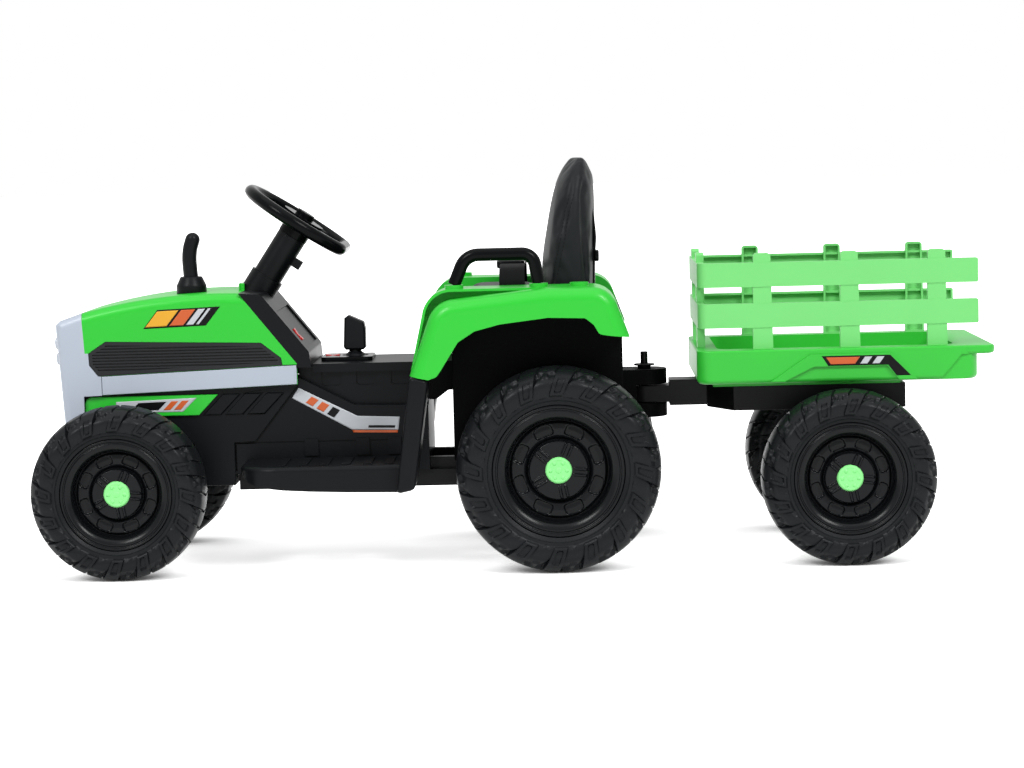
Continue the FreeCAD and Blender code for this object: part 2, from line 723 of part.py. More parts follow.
def turned_copies(shape, count, start):
    """Copies of a shape spread evenly about the Y axis."""
    copies = []
    for i in range(count):
        copy = shape.copy()
        copy.rotate(V(0, 0, 0), V(0, 1, 0), start + i * 360 / count)
        copies.append(copy)
    return copies


def hub_face_y(width):
    return width * RIM_FACE_shares[-1][1]


def rim(radius, width):
    edge = radius * RIM_RADIUS_share
    face = [(edge * s[0], width * s[1]) for s in RIM_FACE_shares]
    back = [(edge * s[0], width * s[1]) for s in RIM_BACK_shares]
    face_y = hub_face_y(width)
    floor_y = face_y + HUB_CAVITY_DEPTH
    bore = AXLE_RADIUS + RUN_CLEARANCE
    profile = face + [(HUB_CAVITY_RADIUS, face_y), (HUB_CAVITY_RADIUS, floor_y), (bore, floor_y),
                      (bore, width * HUB_INNER_END_share), (HUB_TUBE_RADIUS, width * HUB_INNER_END_share),
                      (HUB_TUBE_RADIUS, floor_y), (back[0][0], floor_y)]
    profile = profile + back[1:] + [(edge - RIM_WALL, back[-1][1]), (edge - RIM_WALL, width * TYRE_BEAD_share),
                                    (edge, width * TYRE_BEAD_share)]
    body = ring(profile)
    half_length = edge * RIM_POCKET_LENGTH_share / 2
    half_width = edge * RIM_POCKET_WIDTH_share / 2
    mid = edge * RIM_POCKET_RADIUS_share
    crown_y = width * (RIM_FACE_shares[-4][1] + RIM_FACE_shares[-3][1]) / 2
    slot = side_prism(rectangle(-half_length, half_length, mid - half_width, mid + half_width, half_width / 2),
                      crown_y - OVERCUT, crown_y + RIM_POCKET_DEPTH)
    pockets = turned_copies(slot, RIM_POCKET_COUNT, 180 / RIM_POCKET_COUNT)
    bar = block(edge * RIM_SPOKE_shares[0], edge * RIM_SPOKE_shares[1], face_y - RIM_SPOKE_RISE,
                face_y + RIM_SPOKE_RISE, -RIM_SPOKE_WIDTH / 2, RIM_SPOKE_WIDTH / 2)
    return body.cut(pockets).fuse(turned_copies(bar, RIM_SPOKE_COUNT, 0))


def hub_cap(radius, width):
    face_y = hub_face_y(width)
    plug = HUB_CAVITY_RADIUS - PRESS_GAP
    disc = ring([(0, face_y + CAP_PLUG_DEPTH), (plug, face_y + CAP_PLUG_DEPTH), (plug, face_y),
                 (CAP_RADIUS, face_y), (CAP_RADIUS, face_y - CAP_RISE / 2),
                 (CAP_RADIUS - CAP_RISE, face_y - CAP_RISE), (0, face_y - CAP_RISE)])
    start = V(CAP_RADIUS * CAP_BUMP_RADIUS_share, face_y, 0)
    bump = rod(start, V(0, -1, 0), CAP_RISE + CAP_BUMP_RISE, CAP_BUMP_RADIUS)
    return disc.fuse(turned_copies(bump, CAP_BUMP_COUNT, 0))


def nut_ring():
    """Axle nut about the Y axis, its inner face at y = 0."""
    nut = rod(V(0, 0, 0), V(0, -1, 0), NUT_LENGTH, NUT_RADIUS)
    return nut.cut(rod(V(0, OVERCUT, 0), V(0, -1, 0), NUT_LENGTH + 2 * OVERCUT, AXLE_RADIUS + PRESS_GAP))


def axle_end(centre_y, radius, width):
    """Distance from the middle line to the nut seat and to the axle tip."""
    floor_y = hub_face_y(width) + HUB_CAVITY_DEPTH
    seat = centre_y - floor_y + MOVE_CLEARANCE
    return seat, seat + NUT_LENGTH + AXLE_NUT_TAIL


def save_wheels(group, centre, centre_y, radius, width):
    pieces = {"tyre": tyre(radius, width), "rim": rim(radius, width), "hub_cap": hub_cap(radius, width)}
    for kind, shape in pieces.items():
        left = moved(shape, centre + V(0, -centre_y, 0))
        right = shape.copy()
        right.rotate(V(0, 0, 0), V(0, 0, 1), 180)
        save(group + "_" + kind + "_left", left)
        save(group + "_" + kind + "_right", moved(right, centre + V(0, centre_y, 0)))


def straight_axle(centre, centre_y, radius, width):
    seat, tip = axle_end(centre_y, radius, width)
    shaft = rod(centre + V(0, -tip, 0), V(0, 1, 0), 2 * tip, AXLE_RADIUS)
    nut = moved(nut_ring(), centre + V(0, -seat, 0))
    return Part.makeCompound([shaft, nut, mirrored(nut)])


# Bonnet group
HOOD_TOP_FRONT = (FRONT_X - HOOD_AHEAD, WAIST_Z + HOOD_FRONT_HEIGHT)
HOOD_LOW_FRONT = (FRONT_X - HOOD_AHEAD + HOOD_FRONT_RUN, WAIST_Z)
HOOD_TOP_REAR = (HOOD_TOP_FRONT[0] + HOOD_TOP_LENGTH, WAIST_Z + HOOD_REAR_HEIGHT)
HOOD_KNEE = (HOOD_TOP_REAR[0] + HOOD_REAR_RUN, WAIST_Z + HOOD_KNEE_HEIGHT)
HOOD_LOW_REAR = (HOOD_KNEE[0], WAIST_Z + HOOD_BASE_RISE)
HOOD_LENGTH = HOOD_KNEE[0] - HOOD_TOP_FRONT[0]
SKIN_Y = HOOD_HALF - SKIN_DEPTH


def hood_side(shares):
    return placed(shares, HOOD_TOP_FRONT[0], WAIST_Z, HOOD_LENGTH, HOOD_REAR_HEIGHT)


def hood_volume(half, sink, edge_radius, overrun):
    """Bonnet volume with a crowned top and rounded top edges."""
    crown = (HOOD_TOP_FRONT[0] + HOOD_TOP_LENGTH / 2, WAIST_Z + HOOD_CROWN_HEIGHT - sink)
    front = (HOOD_TOP_FRONT[0] - overrun, HOOD_TOP_FRONT[1] - sink - overrun * (
        HOOD_CROWN_HEIGHT - HOOD_FRONT_HEIGHT) / HOOD_TOP_LENGTH)
    rear = (HOOD_TOP_REAR[0] + overrun, HOOD_TOP_REAR[1] - sink)
    low = [(HOOD_KNEE[0] + overrun, HOOD_KNEE[1]), (HOOD_LOW_REAR[0] + overrun, HOOD_LOW_REAR[1] - overrun),
           (HOOD_LOW_FRONT[0] - overrun, HOOD_LOW_FRONT[1] - overrun)]
    lifted = [V(p[0], -half, p[1]) for p in [rear] + low + [front]]
    edges = [Part.makeLine(lifted[i], lifted[i + 1]) for i in range(len(lifted) - 1)]
    edges.append(Part.Arc(lifted[-1], V(crown[0], -half, crown[1]), lifted[0]).toShape())
    solid = Part.Face(Part.Wire(edges)).extrude(V(0, 2 * half, 0))
    rims = [e for e in solid.Edges if abs(abs(e.CenterOfMass.y) - half) < PRESS_GAP]
    tops = [e for e in rims if "Circle" in str(e.Curve)]
    return solid.makeFillet(edge_radius, tops)


def steer_place(shape):
    """Move a shape from the steering frame, z along the column, to the tractor."""
    spin = FreeCAD.Rotation(V(0, 1, 0), 90 - STEER_ANGLE)
    placed_shape = shape.copy()
    placed_shape.Placement = FreeCAD.Placement(STEER_HUB, spin).multiply(placed_shape.Placement)
    return placed_shape


STEER_HUB = V(HOOD_TOP_REAR[0] + STEER_HUB_BEHIND, 0, HOOD_TOP_REAR[1] + STEER_HUB_HEIGHT)
STEER_DIR = V(math.cos(math.radians(STEER_ANGLE)), 0, math.sin(math.radians(STEER_ANGLE)))
STEER_CROSS = V(STEER_DIR.z, 0, -STEER_DIR.x)
DASH_RIM = (HOOD_TOP_REAR[0] + DASH_TOP_LENGTH, HOOD_TOP_REAR[1] - DASH_TOP_DROP)
DASH_LIP = (HOOD_KNEE[0] + DASH_LIP_BEHIND, WAIST_Z + DASH_LIP_HEIGHT)
DASH_FOOT = (HOOD_KNEE[0] + DASH_FOOT_BEHIND, WAIST_Z + DASH_FOOT_HEIGHT)


def shaft_line_point(height, offset):
    """Point at a height on the line that lies an offset across from the column axis."""
    start = STEER_HUB + STEER_CROSS * offset
    return start + STEER_DIR * ((height - start.z) / STEER_DIR.z)


COLLAR_TOP = shaft_line_point(DASH_RIM[1] + COLLAR_RISE, 0)
SLEEVE_LOW = STEER_HUB_DROP + STEER_SLEEVE_LENGTH
COLUMN_LENGTH = (STEER_HUB - COLLAR_TOP).Length + COLUMN_SOCKET_DEPTH - SLEEVE_LOW - MOVE_CLEARANCE


def build_hood():
    outer = hood_volume(HOOD_HALF, 0, HOOD_EDGE_RADIUS, 0)
    inner = hood_volume(HOOD_HALF - HOOD_SIDE_WALL, HOOD_WALL, HOOD_EDGE_RADIUS - HOOD_SIDE_WALL, OVERCUT)
    edge = hood_side(GREEN_EDGE_shares)
    below = WAIST_Z - OVERCUT
    region = edge + [(HOOD_KNEE[0] + OVERCUT, edge[-1][1]), (HOOD_KNEE[0] + OVERCUT, below),
                     (HOOD_TOP_FRONT[0] - OVERCUT, below), (HOOD_TOP_FRONT[0] - OVERCUT, edge[0][1])]
    skin = side_prism(region, -HOOD_HALF - OVERCUT, -SKIN_Y)
    collar = rod(COLLAR_TOP, STEER_DIR * -1, COLLAR_LENGTH + OVERCUT, COLLAR_RADIUS + SEAM)
    return outer.cut([inner, skin, mirrored(skin)]).fuse(collar_lip()).cut(collar)


def collar_lip():
    """Upstand on the bonnet in front of the column collar."""
    rear = HOOD_TOP_REAR[0]
    top = HOOD_TOP_REAR[1] + COLLAR_LIP_RISE
    front = shaft_line_point(top, 0).x - (COLLAR_RADIUS + SEAM + COLLAR_LIP_WALL) / STEER_DIR.z
    outline = [(rear, -COLLAR_LIP_HALF), (front, -COLLAR_LIP_HALF, COLLAR_LIP_RADIUS),
               (front, COLLAR_LIP_HALF, COLLAR_LIP_RADIUS), (rear, COLLAR_LIP_HALF)]
    return plan_prism(outline, HOOD_TOP_REAR[1] - HOOD_WALL, top)


def build_louvres():
    outline = inset(hood_side(LOUVRE_shares), SEAM)
    field = inset(outline, LOUVRE_BORDER)
    plate = side_prism(outline, -SKIN_Y - LOUVRE_THICKNESS, -SKIN_Y)
    plate = plate.cut(side_prism(field, -HOOD_HALF - OVERCUT, -SKIN_Y - LOUVRE_BASE))
    low = min(p[1] for p in field)
    height = max(p[1] for p in field) - low
    pitch = height / LOUVRE_COUNT
    slats = []
    for i in range(LOUVRE_COUNT):
        start = low + i * pitch
        slats.append(block(HOOD_TOP_FRONT[0], HOOD_KNEE[0], -SKIN_Y - LOUVRE_THICKNESS, -SKIN_Y,
                           start, start + pitch * LOUVRE_SLAT_share))
    slats = side_prism(field, -SKIN_Y - LOUVRE_THICKNESS, -SKIN_Y).common(Part.makeCompound(slats))
    return both_sides(plate.fuse(slats.Solids))


def build_strips():
    return both_sides(side_prism(inset(hood_side(STRIP_shares), SEAM), -SKIN_Y - STRIP_THICKNESS, -SKIN_Y))


NOSE_BACK_X = FRONT_X - HOOD_AHEAD


def build_nose():
    face_top = (FRONT_X - NOSE_AHEAD, WAIST_Z + NOSE_FACE_HEIGHT)
    foot = (FRONT_X - NOSE_FOOT_AHEAD, WAIST_Z - NOSE_DROP)
    brow = (FRONT_X - NOSE_BROW_AHEAD, WAIST_Z + NOSE_BROW_HEIGHT)
    outline = [(NOSE_BACK_X, foot[1]), foot, face_top, brow, HOOD_TOP_FRONT, HOOD_LOW_FRONT,
               (NOSE_BACK_X, WAIST_Z)]
    solid = side_prism(outline, -HOOD_HALF, HOOD_HALF)
    brow_z = (brow[1] + HOOD_TOP_FRONT[1]) / 2
    rounded_edges = []
    for e in solid.Edges:
        mid = e.CenterOfMass
        on_side = abs(abs(mid.y) - HOOD_HALF) < PRESS_GAP
        on_front = mid.x < (foot[0] + NOSE_BACK_X) / 2 and mid.z > foot[1] + PRESS_GAP
        if on_side and (on_front or abs(mid.z - brow_z) < PRESS_GAP):
            rounded_edges.append(e)
    solid = solid.makeFillet(NOSE_CORNER_RADIUS, rounded_edges)
    hollow = [(NOSE_BACK_X + OVERCUT * 2, foot[1] + NOSE_WALL), (foot[0] + NOSE_WALL, foot[1] + NOSE_WALL),
              (face_top[0] + NOSE_WALL, face_top[1] - NOSE_WALL), (brow[0] + NOSE_WALL, brow[1] - NOSE_WALL),
              (HOOD_TOP_FRONT[0] + OVERCUT * 2, HOOD_TOP_FRONT[1] - NOSE_WALL + OVERCUT * 2 * (
                  HOOD_TOP_FRONT[1] - brow[1]) / (HOOD_TOP_FRONT[0] - brow[0]))]
    inner_half = HOOD_HALF - SKIN_DEPTH
    solid = solid.cut(side_prism(hollow, -inner_half, inner_half))
    cheek = hood_side((LOUVRE_shares[0], LOUVRE_shares[6], LOUVRE_shares[5], STRIP_shares[0], STRIP_shares[3]))
    cheek.append(HOOD_LOW_FRONT)
    rake = HOOD_FRONT_RUN / HOOD_FRONT_HEIGHT
    cheek.append((HOOD_LOW_FRONT[0] - rake * (cheek[0][1] - WAIST_Z), cheek[0][1]))
    pad = side_prism(cheek, -HOOD_HALF, -SKIN_Y)
    lean = (foot[0] - face_top[0]) / (face_top[1] - foot[1])
    reach = face_top[1] - foot[1]
    low = foot[1] + reach * GRILLE_LOW_share
    high = foot[1] + reach * GRILLE_HIGH_share
    window = block(face_top[0] - OVERCUT, foot[0] + NOSE_WALL, -GRILLE_HALF, GRILLE_HALF, low, high)
    lamps = []
    holes = []
    for side in SIDES:
        for rise in (LAMP_LOW_HEIGHT, LAMP_HIGH_HEIGHT):
            z = WAIST_Z + rise
            x = foot[0] - lean * (z - foot[1])
            dome = rod(V(x - LAMP_RISE, side * LAMP_SPREAD, z), V(1, 0, 0), LAMP_DEPTH, LAMP_RADIUS)
            lens = [e for e in dome.Edges if e.Closed and e.CenterOfMass.x < x]
            lamps.append(dome.makeFillet(LAMP_RISE - SEAM, lens))
            start = V(x - OVERCUT, side * LAMP_SPREAD, z)
            holes.append(rod(start, V(1, 0, 0), 2 * OVERCUT, LAMP_RADIUS + PRESS_GAP))
    nose = solid.fuse([pad, mirrored(pad)]).cut([window] + holes)
    rear_x = foot[0] + NOSE_WALL - SEAM
    slab = [(foot[0] - lean * (low - foot[1]) + GRILLE_BAR_RISE, low + SEAM),
            (foot[0] - lean * (high - foot[1]) + GRILLE_BAR_RISE, high - SEAM),
            (rear_x + GRILLE_PLATE, high - SEAM), (rear_x + GRILLE_PLATE, low + SEAM)]
    insert = side_prism(slab, -GRILLE_HALF + SEAM, GRILLE_HALF - SEAM)
    bars = []
    for i in range(GRILLE_BAR_COUNT):
        z = low + (high - low) * (i + 0.5) / GRILLE_BAR_COUNT
        x = foot[0] - lean * (z - foot[1])
        bars.append(block(x, rear_x, -GRILLE_HALF + SEAM, GRILLE_HALF - SEAM,
                          z - GRILLE_BAR_HEIGHT / 2, z + GRILLE_BAR_HEIGHT / 2))
    return nose, insert.fuse(bars), Part.makeCompound(lamps)


SHROUD_LOW_Z = WAIST_Z - SHROUD_DROP
SHROUD_BLOCK_Z = WAIST_Z - SHROUD_BLOCK_DROP


BLOCK_REAR_X = HOOD_KNEE[0] - SHROUD_BLOCK_AHEAD
HEEL_X = HOOD_KNEE[0] - SHROUD_HEEL_AHEAD
LOWER_PANEL_REAR_X = HOOD_KNEE[0] - LOWER_PANEL_AHEAD


def build_shroud():
    block_front = BLOCK_REAR_X - SHROUD_BLOCK_LENGTH
    outline = [(NOSE_BACK_X, WAIST_Z), HOOD_LOW_FRONT, HOOD_LOW_REAR, (HEEL_X, SHROUD_LOW_Z),
               (BLOCK_REAR_X, SHROUD_LOW_Z), (BLOCK_REAR_X, SHROUD_BLOCK_Z), (block_front, SHROUD_BLOCK_Z),
               (block_front, SHROUD_LOW_Z), (NOSE_BACK_X, SHROUD_LOW_Z)]
    outer = side_prism(outline, -SHROUD_HALF, SHROUD_HALF)
    wall = SHROUD_WALL
    inner_half = SHROUD_HALF - wall
    hollow = side_prism(inset(outline, wall), -inner_half, inner_half)
    upper = [(NOSE_BACK_X + wall, WAIST_Z - OVERCUT), (NOSE_BACK_X + wall, WAIST_Z + OVERCUT),
             (HOOD_LOW_REAR[0] + OVERCUT, WAIST_Z + OVERCUT),
             (HOOD_LOW_REAR[0] - OVERCUT * 2, WAIST_Z - OVERCUT)]
    top = side_prism(upper, -inner_half, inner_half)
    shaft_x = shaft_line_point(SHROUD_LOW_Z, 0).x
    slot = block(shaft_x - SHAFT_SLOT_AHEAD, shaft_x + SHAFT_SLOT_BEHIND, -SHAFT_SLOT_HALF, SHAFT_SLOT_HALF,
                 SHROUD_LOW_Z - OVERCUT, SHROUD_LOW_Z + OVERCUT)
    saddle = block(FRONT_X - SADDLE_FRONT, FRONT_X + SADDLE_REAR, -SADDLE_HALF, SADDLE_HALF,
                   FRONT_AXLE.z + BEAM_HALF, SHROUD_LOW_Z + wall)
    ribs = []
    low = WAIST_Z - LOWER_PANEL_DROP
    high = WAIST_Z - LOWER_PANEL_TOP
    rake = LOWER_PANEL_REAR_RUN
    for i in range(RIB_COUNT):
        start = LOWER_PANEL_REAR_X + RIB_GAP + i * (RIB_WIDTH + RIB_GAP)
        end = start + RIB_WIDTH
        corners = [(start, low), (end, low), (end + rake, high), (start + rake, high)]
        rib = side_prism(corners, -SHROUD_HALF - RIB_RISE, -SHROUD_HALF)
        ribs.extend([rib, mirrored(rib)])
    return outer.cut([hollow, top, slot]).fuse([saddle] + ribs)


def build_lower_panels():
    low = WAIST_Z - LOWER_PANEL_DROP
    high = WAIST_Z - LOWER_PANEL_TOP
    rear = LOWER_PANEL_REAR_X
    front = NOSE_BACK_X + SEAM
    outline = [(front, low, LOWER_PANEL_CORNER / 2), (rear, low), (rear + LOWER_PANEL_REAR_RUN, high),
               (front, high, LOWER_PANEL_CORNER)]
    return both_sides(side_prism(outline, -SHROUD_HALF - LOWER_PANEL_THICKNESS, -SHROUD_HALF))


def build_stack():
    x = FRONT_X + STACK_SETBACK
    y = -STACK_SIDE
    seat_z = WAIST_Z + HOOD_CROWN_HEIGHT
    foot = V(x, y, seat_z)
    base = rod(foot - V(0, 0, OVERCUT), V(0, 0, 1), OVERCUT + STACK_BASE_HEIGHT, STACK_BASE_RADIUS)
    cone = Part.makeCone(STACK_BASE_RADIUS, STACK_NECK_RADIUS, STACK_NECK_HEIGHT - STACK_BASE_HEIGHT,
                         foot + V(0, 0, STACK_BASE_HEIGHT))
    knee = V(x, y, seat_z + STACK_NECK_HEIGHT + STACK_STRAIGHT)
    angle = math.radians(STACK_BEND_ANGLE)
    bend = STACK_BEND_RADIUS
    mid = knee + V(bend * (1 - math.cos(angle / 2)), 0, bend * math.sin(angle / 2))
    end = knee + V(bend * (1 - math.cos(angle)), 0, bend * math.sin(angle))
    path = Part.Wire([Part.makeLine(foot, knee), Part.Arc(knee, mid, end).toShape()])
    section = Part.Wire([Part.makeCircle(STACK_PIPE_RADIUS, foot, V(0, 0, 1))])
    pipe = path.makePipeShell([section], True, False)
    top = V(math.sin(angle), 0, math.cos(angle))
    bore = rod(end - top * (bend * STACK_BORE_DEPTH_share), top, bend, STACK_BORE_RADIUS)
    return base.fuse([cone, pipe]).cut([bore, hood_volume(HOOD_HALF, 0, HOOD_EDGE_RADIUS, 0)])


def dash_frame(share):
    """Point on the dashboard face, the direction down it and its outward normal."""
    start = V(DASH_RIM[0], 0, DASH_RIM[1])
    run = V(DASH_LIP[0], 0, DASH_LIP[1]) - start
    along = V(run).normalize()
    return start + run * share, along, V(-along.z, 0, along.x)


def rocker_window(length_play):
    half = ROCKER_LENGTH / 2 + length_play
    wide = ROCKER_HALF + MOVE_CLEARANCE
    slot = block(-half, half, -wide, wide, -OVERCUT, OVERCUT)
    reach = ROCKER_HALF + ROCKER_PIN_LENGTH + MOVE_CLEARANCE
    return slot.fuse(rod(V(0, -reach, 0), V(0, 1, 0), 2 * reach, ROCKER_PIN_RADIUS + RUN_CLEARANCE))


def build_rocker():
    """Rocker on its pivot pins along the Y axis."""
    half = ROCKER_LENGTH / 2
    outline = [(-half, -ROCKER_DROP), (half, -ROCKER_DROP), (half, ROCKER_RISE), (0, ROCKER_RISE - ROCKER_DISH),
               (-half, ROCKER_RISE)]
    reach = ROCKER_HALF + ROCKER_PIN_LENGTH
    pins = rod(V(0, -reach, 0), V(0, 1, 0), 2 * reach, ROCKER_PIN_RADIUS)
    return union([side_prism(outline, -ROCKER_HALF, ROCKER_HALF), pins])


def dash_place(shape):
    """Move a rocker shape to its pivot in the middle of the recessed dashboard wall."""
    point, along, normal = dash_frame(DASH_ROCKER_share)
    pitch = math.degrees(math.atan2(-along.z, along.x))
    result = shape.copy()
    base = point + V(0, DASH_ROCKER_SIDE, 0) - normal * ((DASH_RECESS_DEPTH + DASH_WALL) / 2)
    spin = FreeCAD.Rotation(V(0, 1, 0), pitch)
    result.Placement = FreeCAD.Placement(base, spin).multiply(result.Placement)
    return result


def build_dash():
    outline = [HOOD_TOP_REAR, DASH_RIM, DASH_LIP, DASH_FOOT, (HOOD_KNEE[0], DASH_FOOT[1]), HOOD_KNEE]
    rounded = [p + (DASH_FACE_RADIUS,) if p in (DASH_RIM, DASH_LIP) else p for p in outline]
    solid = side_prism(rounded, -HOOD_HALF, HOOD_HALF)
    rim_x = DASH_RIM[0] - DASH_WALL
    slope = (DASH_LIP[0] - DASH_RIM[0]) / (DASH_RIM[1] - DASH_LIP[1])
    drop = DASH_RIM[1] - DASH_WALL - DASH_FOOT[1] - DASH_WALL
    inner_x = rim_x - DASH_WALL / 2
    hollow = [(HOOD_TOP_REAR[0] - OVERCUT, DASH_RIM[1] - DASH_WALL), (inner_x, DASH_RIM[1] - DASH_WALL),
              (inner_x + slope * drop, DASH_FOOT[1] + DASH_WALL),
              (HOOD_TOP_REAR[0] - OVERCUT, DASH_FOOT[1] + DASH_WALL)]
    inner_half = HOOD_HALF - DASH_WALL
    solid = solid.cut(side_prism(hollow, -inner_half, inner_half))
    top, along, normal = dash_frame(DASH_RECESS_shares[0])
    low, along, normal = dash_frame(DASH_RECESS_shares[1])
    sunk = normal * -DASH_RECESS_DEPTH
    raised = normal * OVERCUT
    corners = [top + sunk, low + sunk, low + raised, top + raised]
    recess = side_prism([(c.x, c.z) for c in corners], -DASH_RECESS_HALF, DASH_RECESS_HALF)
    down = STEER_DIR * -1
    collar = rod(COLLAR_TOP, down, COLLAR_LENGTH, COLLAR_RADIUS)
    socket = rod(COLLAR_TOP - down * OVERCUT, down, COLUMN_SOCKET_DEPTH + OVERCUT, COLUMN_RADIUS + PRESS_GAP)
    passage = rod(COLLAR_TOP, down, 2 * COLLAR_LENGTH, SHAFT_RADIUS + SHAFT_PASSAGE_PLAY)
    solid = solid.cut(recess).fuse(collar).cut([socket, passage])
    return solid.cut(dash_place(rocker_window(ROCKER_PLAY)))


def build_column():
    top = -SLEEVE_LOW - MOVE_CLEARANCE
    tube = rod(V(0, 0, top), V(0, 0, -1), COLUMN_LENGTH, COLUMN_RADIUS)
    bore = rod(V(0, 0, top - COLUMN_WALL), V(0, 0, -1), COLUMN_LENGTH, COLUMN_RADIUS - COLUMN_WALL)
    passage = rod(V(0, 0, top + OVERCUT), V(0, 0, -1), COLUMN_LENGTH, SHAFT_RADIUS + RUN_CLEARANCE)
    boss = block(COLUMN_RADIUS - COLUMN_WALL, COLUMN_RADIUS + BOSS_LENGTH, -BOSS_WIDTH / 2, BOSS_WIDTH / 2,
                 -BOSS_DROP - BOSS_WIDTH, -BOSS_DROP)
    return steer_place(tube.fuse(boss).cut([bore, passage]))


def build_steering_wheel():
    path_r = STEER_RIM_PATH_RADIUS
    corner = STEER_RIM_CORNER
    centre_u = STEER_RIM_FLAT - corner
    centre_v = math.sqrt((path_r - corner) ** 2 - centre_u ** 2)
    outward = V(centre_u, centre_v, 0).normalize()
    touch = outward * path_r
    middle = V(centre_u, centre_v, 0) + (outward + V(1, 0, 0)).normalize() * corner
    flat = V(STEER_RIM_FLAT, centre_v, 0)
    flip = lambda p: V(p.x, -p.y, p.z)
    path = Part.Wire([
        Part.Arc(flat, middle, touch).toShape(),
        Part.Arc(touch, V(-path_r, 0, 0), flip(touch)).toShape(),
        Part.Arc(flip(touch), flip(middle), flip(flat)).toShape(),
        Part.makeLine(flip(flat), flat)])
    section = Part.Wire([Part.makeCircle(STEER_RIM_TUBE, flat, V(0, 1, 0))])
    rim_ring = path.makePipeShell([section], True, False)
    hub = rod(V(0, 0, -STEER_HUB_DROP), V(0, 0, 1), STEER_HUB_DROP + STEER_HUB_RISE, STEER_HUB_RADIUS)
    sleeve = rod(V(0, 0, -SLEEVE_LOW), V(0, 0, 1), STEER_SLEEVE_LENGTH, STEER_SLEEVE_RADIUS)
    spokes = []
    for angle in STEER_SPOKE_ANGLES:
        reach = STEER_RIM_FLAT if angle == 0 else path_r
        bar = block(STEER_HUB_RADIUS / 2, reach, -STEER_SPOKE_WIDTH / 2, STEER_SPOKE_WIDTH / 2,
                    -STEER_SPOKE_THICKNESS / 2, STEER_SPOKE_THICKNESS / 2)
        bar.rotate(V(0, 0, 0), V(0, 0, 1), angle)
        spokes.append(bar)
    well_z = STEER_HUB_RISE - HORN_DEPTH - HORN_TRAVEL - MOVE_CLEARANCE
    well = rod(V(0, 0, well_z), V(0, 0, 1), OVERCUT, HORN_RADIUS + MOVE_CLEARANCE)
    socket_foot = V(0, 0, -SLEEVE_LOW - OVERCUT)
    socket = rod(socket_foot, V(0, 0, 1), OVERCUT + SLEEVE_LOW - SHAFT_TOP_EMBED, SHAFT_RADIUS)
    return steer_place(rim_ring.fuse([hub, sleeve] + spokes).cut([well, socket]))


def build_horn():
    button = rod(V(0, 0, STEER_HUB_RISE - HORN_DEPTH), V(0, 0, 1), HORN_DEPTH + HORN_RISE, HORN_RADIUS)
    top = [e for e in button.Edges if "Circle" in str(e.Curve) and e.CenterOfMass.z > STEER_HUB_RISE]
    return steer_place(button.makeFillet(HORN_RISE / 4, top))


def build_shaft():
    top = STEER_HUB - STEER_DIR * SHAFT_TOP_EMBED
    knee = shaft_line_point(FRONT_AXLE.z + SHAFT_END_ABOVE_AXLE, 0)
    elbow = knee + STEER_CROSS * CRANK_LENGTH
    tip = shaft_line_point(FRONT_AXLE.z - CRANK_PIN_BELOW_AXLE, CRANK_LENGTH)
    bend = SHAFT_BEND_RADIUS
    down = STEER_DIR * -1
    cross = STEER_CROSS
    start_1 = knee - down * bend
    end_1 = knee + cross * bend
    mid_1 = start_1 + cross * bend + (down - cross).normalize() * bend
    start_2 = elbow - cross * bend
    end_2 = elbow + down * bend
    mid_2 = end_2 - cross * bend + (cross - down).normalize() * bend
    path = Part.Wire([
        Part.makeLine(top, start_1), Part.Arc(start_1, mid_1, end_1).toShape(), Part.makeLine(end_1, start_2),
        Part.Arc(start_2, mid_2, end_2).toShape(), Part.makeLine(end_2, tip)])
    section = Part.Wire([Part.makeCircle(SHAFT_RADIUS, top, down)])
    return path.makePipeShell([section], True, False)


# Front axle group
KINGPIN_Y = FRONT_WHEEL_Y - FRONT_TYRE_WIDTH / 2 - KINGPIN_TO_TYRE
EAR_LOW_Z = FRONT_AXLE.z - EYE_HALF_HEIGHT - SEAM - FORK_EAR
TIE_TOP_Z = EAR_LOW_Z - SEAM


def build_beam():
    bar = block(FRONT_X - BEAM_HALF, FRONT_X + BEAM_HALF, -KINGPIN_Y, KINGPIN_Y,
                FRONT_AXLE.z - BEAM_HALF, FRONT_AXLE.z + BEAM_HALF)
    eyes = []
    bores = []
    for side in SIDES:
        foot = V(FRONT_X, side * KINGPIN_Y, FRONT_AXLE.z - EYE_HALF_HEIGHT)
        eyes.append(rod(foot, V(0, 0, 1), 2 * EYE_HALF_HEIGHT, EYE_RADIUS))
        bores.append(rod(foot - V(0, 0, OVERCUT), V(0, 0, 1), 2 * (EYE_HALF_HEIGHT + OVERCUT),
                         KINGPIN_RADIUS + RUN_CLEARANCE))
    return bar.fuse(eyes).cut(bores)


